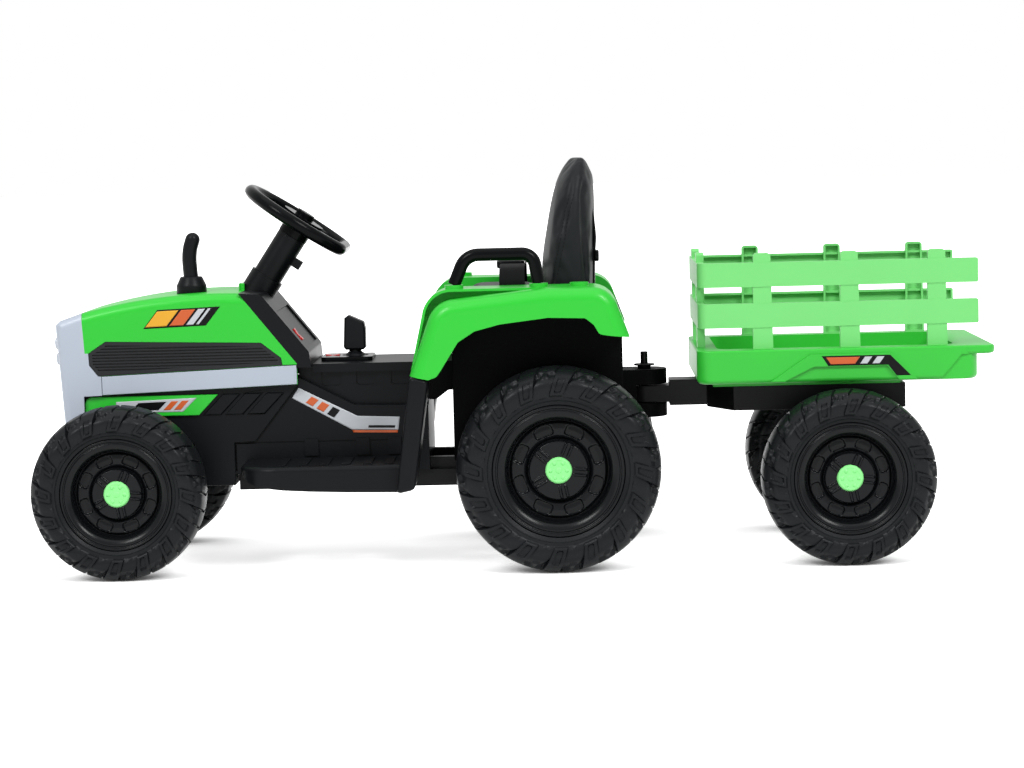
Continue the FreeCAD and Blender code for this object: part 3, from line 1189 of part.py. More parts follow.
def build_knuckle():
    """Left knuckle: fork round the beam eye, kingpin, stub axle, steering arm and wheel nut."""
    pin = V(FRONT_X, -KINGPIN_Y, FRONT_AXLE.z)
    back = -KINGPIN_Y - FORK_BACK_FROM_PIN
    ear_high = EYE_HALF_HEIGHT + SEAM
    ears = []
    for low in (ear_high, -ear_high - FORK_EAR):
        ears.append(block(FRONT_X - FORK_HALF, FRONT_X + FORK_HALF, back, -KINGPIN_Y + FORK_HALF,
                          pin.z + low, pin.z + low + FORK_EAR))
    spine = block(FRONT_X - FORK_HALF, FRONT_X + FORK_HALF, back - FORK_BACK_THICKNESS, back,
                  pin.z - ear_high - FORK_EAR, pin.z + ear_high + FORK_EAR)
    post = rod(pin - V(0, 0, ear_high + FORK_EAR), V(0, 0, 1), 2 * (ear_high + FORK_EAR), KINGPIN_RADIUS)
    seat, tip = axle_end(FRONT_WHEEL_Y, FRONT_TYRE_RADIUS, FRONT_TYRE_WIDTH)
    stub = rod(V(FRONT_X, back, pin.z), V(0, -1, 0), tip + back, AXLE_RADIUS)
    arm_end = FRONT_X + ARM_LENGTH
    arm = plan_prism(rectangle(FRONT_X, arm_end + ARM_TIP, -KINGPIN_Y - ARM_HALF, -KINGPIN_Y + ARM_HALF,
                               ARM_HALF / 2), EAR_LOW_Z, EAR_LOW_Z + FORK_EAR)
    play = TIE_PIN_RADIUS + TIE_PIN_PLAY
    slot_end = arm_end + ARM_SLOT_RUN + play
    slot = rectangle(arm_end - play, slot_end, -KINGPIN_Y - play, -KINGPIN_Y + play, TIE_PIN_RADIUS / 2)
    slot = plan_prism(slot, EAR_LOW_Z - OVERCUT, EAR_LOW_Z + FORK_EAR + OVERCUT)
    solid = union(ears + [spine, post, stub, arm]).cut(slot)
    nut = moved(nut_ring(), V(FRONT_X, -seat, pin.z))
    return Part.makeCompound([solid, nut])


def build_tie_rod():
    x = FRONT_X + ARM_LENGTH
    low = TIE_TOP_Z - TIE_BAR_THICKNESS
    end = KINGPIN_Y + TIE_BAR_HALF
    bar = plan_prism(rectangle(x - TIE_BAR_HALF, x + TIE_BAR_HALF, -end, end, TIE_BAR_HALF / 2), low, TIE_TOP_Z)
    pin_length = TIE_BAR_THICKNESS + FORK_EAR + 2 * SEAM
    pins = [rod(V(x, side * KINGPIN_Y, low), V(0, 0, 1), pin_length, TIE_PIN_RADIUS) for side in SIDES]
    hole = shaft_line_point((low + TIE_TOP_Z) / 2, CRANK_LENGTH)
    front = min(hole.x - TIE_SLOT_AHEAD - TIE_BAR_HALF, x - TIE_BAR_HALF)
    rear = max(hole.x + TIE_SLOT_BEHIND + TIE_BAR_HALF, x)
    plate = rectangle(front, rear, -TIE_PLATE_HALF, TIE_PLATE_HALF, TIE_BAR_HALF / 2)
    plate = plan_prism(plate, low, TIE_TOP_Z)
    half = SHAFT_RADIUS + TIE_SLOT_PLAY
    slot = plan_prism(rectangle(hole.x - TIE_SLOT_AHEAD, hole.x + TIE_SLOT_BEHIND, -half, half, half / 2),
                      low - OVERCUT, TIE_TOP_Z + OVERCUT)
    return union([bar, plate] + pins).cut(slot)


# Centre tub group
TUB_LOW_Z = WAIST_Z - TUB_BOTTOM_DROP
TUB_REAR_X = REAR_X - TUB_REAR_AHEAD
CONSOLE_Z = WAIST_Z + CONSOLE_TOP
FOOT_Z = WAIST_Z - FOOT_TOP_DROP
FOOT_FRONT_X = BLOCK_REAR_X + FOOT_FRONT_GAP
PLATE_FRONT_X = DASH_FOOT[0] + PLATE_GAP
LEVER_X = PLATE_FRONT_X + LEVER_BEHIND
PEDAL_X = FOOT_FRONT_X + PEDAL_HEEL_BEHIND
PEDAL_Z = FOOT_Z + PEDAL_AXIS_RISE
PILLAR_LEAN = (PILLAR_FOOT_AHEAD - PILLAR_TOP_AHEAD) / (PILLAR_FOOT_DROP + FENDER_TIP_RISE)


def pillar_front(height):
    return REAR_X - PILLAR_FOOT_AHEAD + PILLAR_LEAN * (height - WAIST_Z + PILLAR_FOOT_DROP)


def foot_outline():
    front = FOOT_FRONT_X
    low_z = FOOT_Z - FOOT_DEPTH
    length = pillar_front(low_z) - front
    lower = [(front + length * s[0], FOOT_Z - FOOT_DEPTH * s[1]) for s in FOOT_DEPTH_shares]
    return [(pillar_front(FOOT_Z), FOOT_Z)] + lower


def tub_grooves(side):
    """Grooves in both side walls: along the front seam, and a ledge line back from the heel."""
    inner = TUB_HALF - SEAM_GROOVE_DEPTH
    outer = TUB_HALF + OVERCUT
    border = side_prism(side, inner, outer).cut(side_prism(inset(side, SEAM_GROOVE_WIDTH), inner, outer))
    reach = block(BLOCK_REAR_X - OVERCUT, HOOD_LOW_REAR[0], inner, outer, TUB_LOW_Z + TUB_WALL,
                  HOOD_LOW_REAR[1])
    ledge = block(HEEL_X, TUB_REAR_X - TUB_WALL, TUB_HALF - LEDGE_GROOVE_DEPTH, outer,
                  SHROUD_LOW_Z - LEDGE_GROOVE_WIDTH, SHROUD_LOW_Z)
    grooves = [border.common(reach), ledge]
    return grooves + [mirrored(groove) for groove in grooves]


def build_tub():
    low = TUB_LOW_Z
    wall = TUB_WALL
    crease = HOOD_KNEE[0] + TUB_CREASE_BEHIND
    side = [(BLOCK_REAR_X, low), (BLOCK_REAR_X, SHROUD_LOW_Z), (HEEL_X, SHROUD_LOW_Z), HOOD_LOW_REAR,
            (HOOD_LOW_REAR[0], WAIST_Z + TUB_CREASE_START_RISE), (crease, WAIST_Z - TUB_CREASE_DROP),
            (TUB_REAR_X, WAIST_Z - TUB_CREASE_END_DROP), (TUB_REAR_X, low)]
    console = [(HOOD_LOW_REAR[0], low), (HOOD_LOW_REAR[0], DASH_FOOT[1]), (DASH_FOOT[0] + SEAM, DASH_FOOT[1]),
               (DASH_FOOT[0] + SEAM, CONSOLE_Z), (TUB_REAR_X, CONSOLE_Z), (TUB_REAR_X, low)]
    body = side_prism(side, -TUB_HALF, TUB_HALF).cut(tub_grooves(side))
    core = side_prism(console, -CONSOLE_HALF, CONSOLE_HALF)
    lip = block(DASH_FOOT[0] + SEAM, TUB_REAR_X, -CONSOLE_LIP_HALF, CONSOLE_LIP_HALF,
                CONSOLE_Z - CONSOLE_LIP, CONSOLE_Z)
    board_outline = foot_outline()
    board = side_prism(board_outline, TUB_HALF - wall, FOOT_HALF)
    front = FOOT_FRONT_X
    plan = [(front, 0), (front, FOOT_HALF, FOOT_CORNER_RADIUS), (TUB_REAR_X, FOOT_HALF), (TUB_REAR_X, 0)]
    board = board.common(plan_prism(plan, low - OVERCUT * 2, WAIST_Z))
    rims = []
    for e in board.Edges:
        mid = e.CenterOfMass
        outside = mid.y > FOOT_HALF - FOOT_CORNER_RADIUS or mid.x < front + FOOT_EDGE_RADIUS
        if abs(mid.z - FOOT_Z) < PRESS_GAP and outside:
            rims.append(e)
    board = board.makeFillet(FOOT_EDGE_RADIUS, rims)
    under_side = side_prism(inset(board_outline, FOOT_WALL), TUB_HALF, FOOT_HALF - FOOT_WALL)
    inner_y = FOOT_HALF - FOOT_WALL
    inner_plan = [(front + FOOT_WALL, TUB_HALF), (front + FOOT_WALL, inner_y, FOOT_CORNER_RADIUS - FOOT_WALL),
                  (TUB_REAR_X, inner_y), (TUB_REAR_X, TUB_HALF)]
    under = under_side.common(plan_prism(inner_plan, low - OVERCUT * 2, WAIST_Z))
    under = under.fuse(moved(under, V(0, 0, -FOOT_WALL * 2)))
    board = board.cut(under)
    treads = []
    tread_start = FOOT_FRONT_X + TREAD_FIRST_BEHIND
    tread_run = pillar_front(FOOT_Z) - TREAD_REAR_GAP - TREAD_WIDTH - tread_start
    for i in range(TREAD_COUNT):
        x = tread_start + tread_run * i / (TREAD_COUNT - 1)
        tread = block(x, x + TREAD_WIDTH, TREAD_MARGIN - FOOT_HALF, -TUB_HALF - TREAD_MARGIN,
                      FOOT_Z, FOOT_Z + TREAD_RISE)
        treads.append(tread)
        if PEDAL_X - PEDAL_LENGTH - TREAD_MARGIN > x or x > PEDAL_X + TREAD_MARGIN:
            treads.append(mirrored(tread))
    ribs = []
    for share in SIDE_RIB_START_shares:
        x = HOOD_KNEE[0] + (TUB_REAR_X - HOOD_KNEE[0]) * share
        rib = block(x, x + SIDE_RIB_WIDTH, TUB_HALF, TUB_HALF + SIDE_RIB_RISE, WAIST_Z - SIDE_RIB_DROP,
                    WAIST_Z - SIDE_RIB_DROP + SIDE_RIB_HEIGHT)
        ribs.extend([rib, mirrored(rib)])
    solid = union([body, core, lip, board, mirrored(board)] + ribs + treads)
    cavity_side = side_prism(inset(side, wall), -TUB_HALF + wall, TUB_HALF - wall)
    cavity_core = side_prism(inset(console, wall), -CONSOLE_HALF + wall, CONSOLE_HALF - wall)
    cavity_low = block(BLOCK_REAR_X + wall, TUB_REAR_X - wall, -TUB_HALF + wall, TUB_HALF - wall,
                       low - OVERCUT, low + 2 * wall)
    cuts = [cavity_side, cavity_core, cavity_low]
    for i in range(CONSOLE_POCKET_COUNT):
        x = DASH_FOOT[0] + CONSOLE_POCKET_BEHIND + i * CONSOLE_POCKET_PITCH
        top = CONSOLE_Z - CONSOLE_LIP
        foot = top - CONSOLE_POCKET_HEIGHT
        end = x + CONSOLE_POCKET_LENGTH
        outline = [(x, top), (x, foot, CONSOLE_POCKET_RADIUS), (end, foot, CONSOLE_POCKET_RADIUS), (end, top)]
        pocket = side_prism(outline, CONSOLE_HALF - CONSOLE_POCKET_DEPTH, CONSOLE_HALF + OVERCUT)
        cuts.extend([pocket, mirrored(pocket)])
    for side_sign in SIDES:
        y = side_sign * RAIL_SPREAD
        half = RAIL_HALF + SEAM
        cuts.append(block(TUB_REAR_X - OVERCUT, TUB_REAR_X + OVERCUT, y - half, y + half,
                          low - OVERCUT, low + RAIL_HEIGHT + SEAM))
    solid = solid.cut(cuts + [lever_hole()])
    lugs = []
    for y in (PEDAL_INNER - SEAM - PEDAL_LUG_WIDTH, PEDAL_INNER + PEDAL_WIDTH + SEAM):
        lugs.append(block(PEDAL_X - PEDAL_LUG_WIDTH, PEDAL_X + PEDAL_LUG_WIDTH, y, y + PEDAL_LUG_WIDTH,
                          FOOT_Z, FOOT_Z + PEDAL_LUG_HEIGHT))
    bore = rod(V(PEDAL_X, 0, PEDAL_Z), V(0, 1, 0), FOOT_HALF, PEDAL_PIN_RADIUS + RUN_CLEARANCE)
    lugs = [lug.cut(bore) for lug in lugs]
    bore_start = V(LEVER_X, -LEVER_PIN_REACH - MOVE_CLEARANCE, LEVER_Z)
    bore_length = 2 * (LEVER_PIN_REACH + MOVE_CLEARANCE)
    lever_bore = rod(bore_start, V(0, 1, 0), bore_length, LEVER_PIN_RADIUS + RUN_CLEARANCE)
    for side_sign in SIDES:
        inner = side_sign * (LEVER_BALL_RADIUS + LEVER_HOLE_PLAY)
        outer = inner + side_sign * LEVER_LUG_WIDTH
        hanger = block(LEVER_X - LEVER_LUG_HALF, LEVER_X + LEVER_LUG_HALF, min(inner, outer), max(inner, outer),
                       CONSOLE_Z - LEVER_LUG_DROP, CONSOLE_Z - wall / 2)
        lugs.append(hanger)
    return solid.fuse(lugs).cut(lever_bore)


LEVER_Z = CONSOLE_Z - LEVER_BALL_DROP
LEVER_PIN_REACH = LEVER_BALL_RADIUS + LEVER_HOLE_PLAY + LEVER_LUG_WIDTH


def lever_hole():
    start = V(LEVER_X, 0, CONSOLE_Z - TUB_WALL)
    return rod(start, V(0, 0, 1), OVERCUT, LEVER_BALL_RADIUS + LEVER_HOLE_PLAY)


def build_pedal():
    y0 = PEDAL_INNER
    y1 = PEDAL_INNER + PEDAL_WIDTH
    front = PEDAL_X - PEDAL_LENGTH
    high = PEDAL_Z + PEDAL_RISE
    tread = [(PEDAL_X, PEDAL_Z), (PEDAL_X, PEDAL_Z + PEDAL_BARREL_RADIUS), (front, high),
             (front, high - PEDAL_THICKNESS)]
    plate = side_prism(tread, y0, y1)
    barrel = rod(V(PEDAL_X, y0, PEDAL_Z), V(0, 1, 0), PEDAL_WIDTH, PEDAL_BARREL_RADIUS)
    pin_length = PEDAL_WIDTH + 2 * PEDAL_LUG_WIDTH
    pin = rod(V(PEDAL_X, y0 - PEDAL_LUG_WIDTH, PEDAL_Z), V(0, 1, 0), pin_length, PEDAL_PIN_RADIUS)
    return union([plate, barrel, pin])


CONSOLE_PIVOT = V(PLATE_FRONT_X + CONSOLE_ROCKER_BEHIND, 0, CONSOLE_Z + PLATE_THICKNESS / 2)


def build_console_plate():
    outline = rectangle(PLATE_FRONT_X, PLATE_FRONT_X + PLATE_LENGTH, -PLATE_HALF, PLATE_HALF, PLATE_RADIUS)
    solid = plan_prism(outline, CONSOLE_Z, CONSOLE_Z + PLATE_THICKNESS)
    return solid.cut([lever_hole(), moved(rocker_window(ROCKER_PLAY), CONSOLE_PIVOT)])


def build_lever():
    x = LEVER_X
    centre = V(x, 0, LEVER_Z)
    ball = Part.makeSphere(LEVER_BALL_RADIUS, centre)
    floor = block(x - OVERCUT, x + OVERCUT, -OVERCUT, OVERCUT, centre.z - OVERCUT, centre.z - LEVER_BALL_FLAT)
    base = CONSOLE_Z + KNOB_BOTTOM_RISE
    neck = rod(centre, V(0, 0, 1), base + KNOB_RADIUS - centre.z, LEVER_NECK_RADIUS)
    pin = rod(centre - V(0, LEVER_PIN_REACH, 0), V(0, 1, 0), 2 * LEVER_PIN_REACH, LEVER_PIN_RADIUS)
    outline = placed(KNOB_shares, x - KNOB_LENGTH / 2, base, KNOB_LENGTH, KNOB_HEIGHT)
    knob = side_prism(outline, -KNOB_HALF, KNOB_HALF)
    ends = [e for e in knob.Edges if abs(abs(e.CenterOfMass.y) - KNOB_HALF) < PRESS_GAP]
    knob = knob.makeChamfer(KNOB_RADIUS / 2, ends)
    return union([ball.cut(floor), neck, pin, knob])


def build_pillars():
    low = WAIST_Z - PILLAR_FOOT_DROP
    high = WAIST_Z + FENDER_TIP_RISE
    slope = ARCH_TIP_DROP / PILLAR_WIDTH
    corners = [(pillar_front(low), low), (pillar_front(low) + PILLAR_WIDTH, low + ARCH_TIP_DROP),
               (pillar_front(high) + PILLAR_WIDTH, high - slope * PILLAR_WIDTH), (pillar_front(high), high)]
    return both_sides(side_prism(corners, -FENDER_HALF, -PILLAR_INNER))


# Rear body group
BODY_FRONT_X = REAR_X - BODY_FRONT_AHEAD
BODY_REAR_X = REAR_X + BODY_REAR_BEHIND
DECK_Z = WAIST_Z + DECK_RISE
SILL_Z = WAIST_Z - BODY_SILL_DROP
GEARBOX_OUT_Y = BODY_HALF - BODY_WALL - SEAM


def build_rear_body():
    cheek_z = REAR_AXLE.z - BODY_CHEEK_BELOW_AXLE
    outline = [(BODY_FRONT_X, SILL_Z), (BODY_FRONT_X, DECK_Z), (BODY_REAR_X, DECK_Z),
               (BODY_REAR_X, WAIST_Z - BODY_TAIL_DROP), (REAR_X + BODY_CHEEK_BEHIND, cheek_z),
               (REAR_X - BODY_CHEEK_AHEAD, cheek_z), (REAR_X - BODY_CHEEK_AHEAD - BODY_WALL, SILL_Z)]
    outer = side_prism(outline, -BODY_HALF, BODY_HALF)
    inner_half = BODY_HALF - BODY_WALL
    cavity = block(BODY_FRONT_X + BODY_WALL, BODY_REAR_X - BODY_WALL, -inner_half, inner_half,
                   cheek_z - OVERCUT, DECK_Z - BODY_WALL)
    bore_start = V(REAR_X, -BODY_HALF - OVERCUT, REAR_AXLE.z)
    bore = rod(bore_start, V(0, 1, 0), 2 * OVERCUT, GEARBOX_BOSS_RADIUS + SEAM)
    bores = [bore, mirrored(bore)]
    bridge_top = CONSOLE_Z
    bridge_low = WAIST_Z - BRIDGE_DROP
    gap_z = WAIST_Z - BRIDGE_GAP_DROP
    span = BODY_FRONT_X - TUB_REAR_X
    bridge = [(TUB_REAR_X, bridge_low), (TUB_REAR_X + span * BRIDGE_BRACE_shares[0], bridge_low),
              (TUB_REAR_X + span * BRIDGE_BRACE_shares[1], gap_z), (BODY_FRONT_X, gap_z),
              (BODY_FRONT_X, bridge_top), (TUB_REAR_X, bridge_top)]
    tongue_slot = side_prism(bridge, -CONSOLE_HALF, CONSOLE_HALF)
    fork = []
    top = WAIST_Z + FORK_TOP_RISE
    upper_low = WAIST_Z - FORK_UPPER_BOTTOM_DROP
    lower_high = WAIST_Z - FORK_LOWER_TOP_DROP
    for low, high in ((upper_low, top), (WAIST_Z - FORK_BOTTOM_DROP, lower_high)):
        fork.append(block(BODY_REAR_X - BODY_WALL / 2, HITCH_X, -FORK_PLATE_HALF, FORK_PLATE_HALF, low, high))
        fork.append(rod(V(HITCH_X, 0, low), V(0, 0, 1), high - low, FORK_PLATE_HALF))
    root = block(BODY_REAR_X - BODY_WALL / 2, BODY_REAR_X + FORK_BLOCK_LENGTH,
                 -FORK_PLATE_HALF, FORK_PLATE_HALF, WAIST_Z - FORK_BOTTOM_DROP, top)
    throat = rod(V(HITCH_X, 0, lower_high), V(0, 0, 1), upper_low - lower_high, TONGUE_HALF + FORK_THROAT_PLAY)
    hole_start = V(HITCH_X, 0, WAIST_Z - FORK_BOTTOM_DROP - OVERCUT)
    pin_hole = rod(hole_start, V(0, 0, 1), 2 * FORK_BOTTOM_DROP + OVERCUT, PIN_RADIUS + PIN_PLAY)
    solid = outer.cut([cavity] + bores)
    return solid.fuse([tongue_slot, root] + fork).cut([throat, pin_hole])


def build_hitch_pin():
    foot = WAIST_Z - PIN_FOOT_DROP
    stem = rod(V(HITCH_X, 0, foot), V(0, 0, 1), WAIST_Z + PIN_TOP_RISE - foot, PIN_RADIUS)
    seat = WAIST_Z + FORK_TOP_RISE
    collar = rod(V(HITCH_X, 0, seat), V(0, 0, 1), PIN_FLANGE_LOW_RISE - FORK_TOP_RISE, PIN_COLLAR_RADIUS)
    flange_foot = V(HITCH_X, 0, WAIST_Z + PIN_FLANGE_LOW_RISE)
    flange = rod(flange_foot, V(0, 0, 1), PIN_FLANGE_THICKNESS, PIN_FLANGE_RADIUS)
    return union([stem, collar, flange])


def build_chassis():
    x0 = BLOCK_REAR_X + PAN_FRONT_GAP
    x1 = REAR_X - PAN_REAR_AHEAD
    low = TUB_LOW_Z - PAN_DEPTH
    pan = block(x0, x1, -PAN_HALF, PAN_HALF, low, TUB_LOW_Z)
    hollow = block(x0 + PAN_WALL, x1 - PAN_WALL, -PAN_HALF + PAN_WALL, PAN_HALF - PAN_WALL,
                   low - OVERCUT, TUB_LOW_Z - PAN_WALL)
    rails = []
    for side in SIDES:
        y = side * RAIL_SPREAD
        rails.append(block(REAR_X - RAIL_FRONT_AHEAD, x1, y - RAIL_HALF, y + RAIL_HALF,
                           TUB_LOW_Z - PAN_WALL, TUB_LOW_Z + RAIL_HEIGHT))
    return pan.cut(hollow).fuse(rails).removeSplitter()


# Fenders
FENDER_FRONT_X = REAR_X - FENDER_FRONT_AHEAD
FENDER_REAR_X = REAR_X + FENDER_REAR_BEHIND
FENDER_TOP_Z = WAIST_Z + FENDER_TOP_RISE
FENDER_TIP_Z = WAIST_Z + FENDER_TIP_RISE
ARCH_TIP_DROP = -ARCH_shares[-1][1] * (FENDER_TOP_Z - FENDER_TIP_Z)


def fender_lower():
    length = FENDER_REAR_X - FENDER_FRONT_X
    height = FENDER_TOP_Z - FENDER_TIP_Z
    rounded = [(s[0], s[1]) for s in ARCH_shares]
    points = placed(rounded[1:-1], FENDER_FRONT_X, FENDER_TIP_Z, length, height, ARCH_RADIUS / 2)
    first = placed(rounded[:1], FENDER_FRONT_X, FENDER_TIP_Z, length, height)
    return first + points + [(FENDER_FRONT_X + PILLAR_WIDTH, FENDER_TIP_Z - ARCH_TIP_DROP)]


def fender_upper(front_run, front_drop, join):
    tail = (FENDER_REAR_X - FENDER_REAR_RUN, FENDER_TOP_Z, FENDER_REAR_RADIUS)
    rise = (REAR_X - join, FENDER_TOP_Z)
    corner = (FENDER_FRONT_X + front_run, FENDER_TOP_Z - front_drop, FENDER_FRONT_RADIUS)
    return [(FENDER_FRONT_X, FENDER_TIP_Z), corner] + ([rise] if front_drop > 0 else []) + [tail]


def fender_blank(front_run, front_drop, join, y0, y1):
    return side_prism(fender_upper(front_run, front_drop, join) + fender_lower(), y0, y1)


def rounded_rim(solid, y0, radius):
    """Round the front, top and rear edges that a fender slab shows on its outer side."""
    arch_top = FENDER_TIP_Z + (FENDER_TOP_Z - FENDER_TIP_Z) * max(s[1] for s in ARCH_shares)
    rims = []
    for e in solid.Edges:
        mid = e.CenterOfMass
        at_end = mid.x < FENDER_FRONT_X + FENDER_OUTER_RUN / 2 or mid.x > FENDER_REAR_X - FENDER_REAR_RUN / 2
        on_upper = mid.z > arch_top + FENDER_EDGE_RADIUS or at_end and mid.z > FENDER_TIP_Z + FENDER_EDGE_RADIUS
        if abs(mid.y - y0) < PRESS_GAP and on_upper:
            rims.append(e)
    return solid.makeFillet(radius, rims)


def build_fender(sockets):
    wall = FENDER_WALL
    outer = fender_blank(FENDER_OUTER_RUN, FENDER_OUTER_DROP, FENDER_OUTER_JOIN,
                         -FENDER_HALF, -FENDER_STEP_HALF)
    inner = fender_blank(FENDER_FRONT_RUN, 0, 0, -FENDER_STEP_HALF, -BODY_HALF)
    shell = union([rounded_rim(outer, -FENDER_HALF, FENDER_EDGE_RADIUS), inner])
    low = FENDER_TIP_Z - OVERCUT
    front = FENDER_FRONT_X + wall
    rear = FENDER_REAR_X - wall
    hollow_top = [(front + FENDER_FRONT_RUN, FENDER_TOP_Z - wall, FENDER_FRONT_RADIUS - wall),
                  (rear - FENDER_REAR_RUN, FENDER_TOP_Z - wall, FENDER_REAR_RADIUS - wall),
                  (rear, WAIST_Z + FENDER_TAIL_RISE - OVERCUT), (rear, low), (front, low),
                  (front, FENDER_TIP_Z)]
    outer_z = FENDER_TOP_Z - FENDER_OUTER_DROP - wall
    outer_top = [(front + FENDER_OUTER_RUN, outer_z, FENDER_FRONT_RADIUS - wall),
                 (REAR_X - FENDER_OUTER_JOIN, FENDER_TOP_Z - wall)] + hollow_top[1:]
    cuts = [side_prism(hollow_top, -FENDER_STEP_HALF, -BODY_HALF - wall),
            rounded_rim(side_prism(outer_top, -FENDER_HALF + wall, -FENDER_STEP_HALF), -FENDER_HALF + wall,
                        FENDER_EDGE_RADIUS - wall)]
    bosses = []
    for x in sockets:
        foot = V(REAR_X + x, -SOCKET_SIDE, FENDER_TOP_Z - wall)
        bosses.append(rod(foot, V(0, 0, 1), wall + SOCKET_RISE, SOCKET_RADIUS))
    return shell.cut(cuts).fuse(bosses)


SOCKETS = (-ARM_FRONT_AHEAD, -ARM_REAR_AHEAD, ROUND_SOCKET_BEHIND)


def build_armrest():
    base = FENDER_TOP_Z + SOCKET_RISE
    top = FENDER_TOP_Z + ARM_TOP_RISE
    y = -SOCKET_SIDE
    front = V(REAR_X - ARM_FRONT_AHEAD, y, base)
    rear = V(REAR_X - ARM_REAR_AHEAD, y, base)
    front_top = V(front.x + ARM_FRONT_SHIFT, y, top)
    rear_top = V(rear.x - ARM_REAR_SHIFT, y, top)

    def corner(before, at, after, radius):
        back = (before - at).normalize()
        ahead = (after - at).normalize()
        half = back.getAngle(ahead) / 2
        reach = radius / math.tan(half)
        middle = (back + ahead).normalize()
        centre = at + middle * (radius / math.sin(half))
        return at + back * reach, centre - middle * radius, at + ahead * reach

    a = corner(front, front_top, rear_top, ARM_FRONT_RADIUS)
    b = corner(front_top, rear_top, rear, ARM_REAR_RADIUS)
    path = Part.Wire([Part.makeLine(front, a[0]), Part.Arc(*a).toShape(), Part.makeLine(a[2], b[0]),
                      Part.Arc(*b).toShape(), Part.makeLine(b[2], rear)])
    section = Part.Wire([Part.makeCircle(ARM_TUBE_RADIUS, front, (front_top - front).normalize())])
    tube = path.makePipeShell([section], True, False)
    flat = block(front.x - OVERCUT * 2, rear.x + OVERCUT * 2, y - OVERCUT, y + OVERCUT, base - OVERCUT, base)
    return tube.cut(flat)


# Seat
def pad_wire(x0, x1, half, z, crown_share):
    """Closed outline of four arcs: crowned front and rear, softly bulged sides."""
    crown = (x1 - x0) * crown_share
    corners = [V(x0 + crown, -half, z), V(x0 + crown, half, z), V(x1 - crown, half, z), V(x1 - crown, -half, z)]
    mid_x = (x0 + x1) / 2
    mids = [V(x0, 0, z), V(mid_x, half + PAD_SIDE_BULGE, z), V(x1, 0, z), V(mid_x, -half - PAD_SIDE_BULGE, z)]
    edges = [Part.Arc(corners[i], mids[i], corners[(i + 1) % 4]).toShape() for i in range(4)]
    return Part.Wire(edges)


def build_backrest():
    front = REAR_X - BACK_FRONT_AHEAD
    wires = []
    for level, near, far, wide in BACK_LEVEL_shares:
        wires.append(pad_wire(front + BACK_DEPTH * near, front + BACK_DEPTH * far, BACK_HALF * wide,
                              DECK_Z + BACK_HEIGHT * level, BACK_CROWN_share))
    return loft(wires)


def build_cushion():
    front = REAR_X - CUSHION_FRONT_AHEAD
    rear = REAR_X - CUSHION_REAR_AHEAD
    wires = []
    for level, pull in CUSHION_LEVEL_shares:
        margin = (rear - front) * pull
        wires.append(pad_wire(front + margin, rear - margin, CUSHION_HALF - margin,
                              DECK_Z + CUSHION_HEIGHT * level, CUSHION_CROWN_share))
    return loft(wires)


def build_belt():
    x0 = REAR_X - BELT_AHEAD - BELT_HALF_WIDTH
    x1 = REAR_X - BELT_AHEAD + BELT_HALF_WIDTH
    top = DECK_Z + BELT_RISE
    bend = BELT_SHOULDER_RADIUS
    left = [(-BELT_SPREAD, DECK_Z), (-BELT_SPREAD, top - BELT_SHOULDER, bend), (-BELT_SHOULDER, top, bend)]
    outer = left + [(-p[0],) + p[1:] for p in reversed(left)]
    web = end_prism(outer, x0, x1)
    face = Part.Face(closed_wire(outer, lambda p: V(x0, p.x, p.y)))
    shrunk = face.makeOffset2D(-BELT_THICKNESS)
    hollow = shrunk.extrude(V(x1 - x0, 0, 0))
    web = web.cut([hollow, moved(hollow, V(0, 0, -BELT_THICKNESS * 2))])
    middle = REAR_X - BELT_AHEAD
    buckle = block(middle - BUCKLE_WIDTH_HALF, middle + BUCKLE_WIDTH_HALF, -BUCKLE_HALF, BUCKLE_HALF,
                   top - BUCKLE_HEIGHT / 2 - BELT_THICKNESS, top + BUCKLE_HEIGHT / 2)
    uprights = [e for e in buckle.Edges if abs(e.CenterOfMass.z - top) < BUCKLE_RADIUS]
    return web.fuse(buckle.makeFillet(BUCKLE_RADIUS, uprights))


# Drive
def build_gearboxes():
    out_y = GEARBOX_OUT_Y
    z = REAR_AXLE.z
    half = GEARBOX_HALF_HEIGHT
    outline = rectangle(REAR_X - GEARBOX_AHEAD, REAR_X + GEARBOX_BEHIND, z - half, z + half, GEARBOX_RADIUS)
    case = side_prism(outline, -out_y, -out_y + GEARBOX_WIDTH)
    hub_end = REAR_WHEEL_Y - REAR_TYRE_WIDTH * HUB_INNER_END_share - SEAM
    boss = rod(V(REAR_X, -out_y, z), V(0, -1, 0), hub_end - out_y, GEARBOX_BOSS_RADIUS)
    motor_foot = V(REAR_X - GEARBOX_AHEAD, -out_y + GEARBOX_WIDTH / 2, z + MOTOR_RISE)
    motor = rod(motor_foot, V(-1, 0, 0), MOTOR_LENGTH, MOTOR_RADIUS)
    bore = rod(V(REAR_X, -OVERALL_WIDTH, z), V(0, 1, 0), OVERALL_WIDTH, AXLE_RADIUS + PRESS_GAP)
    return both_sides(union([case, boss, motor]).cut(bore))


def build_battery():
    x = REAR_X - BATTERY_AHEAD
    return block(x, x + BATTERY_LENGTH, -BATTERY_HALF, BATTERY_HALF, SILL_Z, SILL_Z + BATTERY_HEIGHT)


# Trailer
BED_X0 = TRAILER_X - BED_FRONT_AHEAD
BED_X1 = TRAILER_X + BED_REAR_BEHIND
BED_LOW_Z = WAIST_Z + BED_BOTTOM_RISE
BED_TOP_Z = BED_LOW_Z + BED_HEIGHT
PLINTH_LOW_Z = BED_LOW_Z - PLINTH_DEPTH


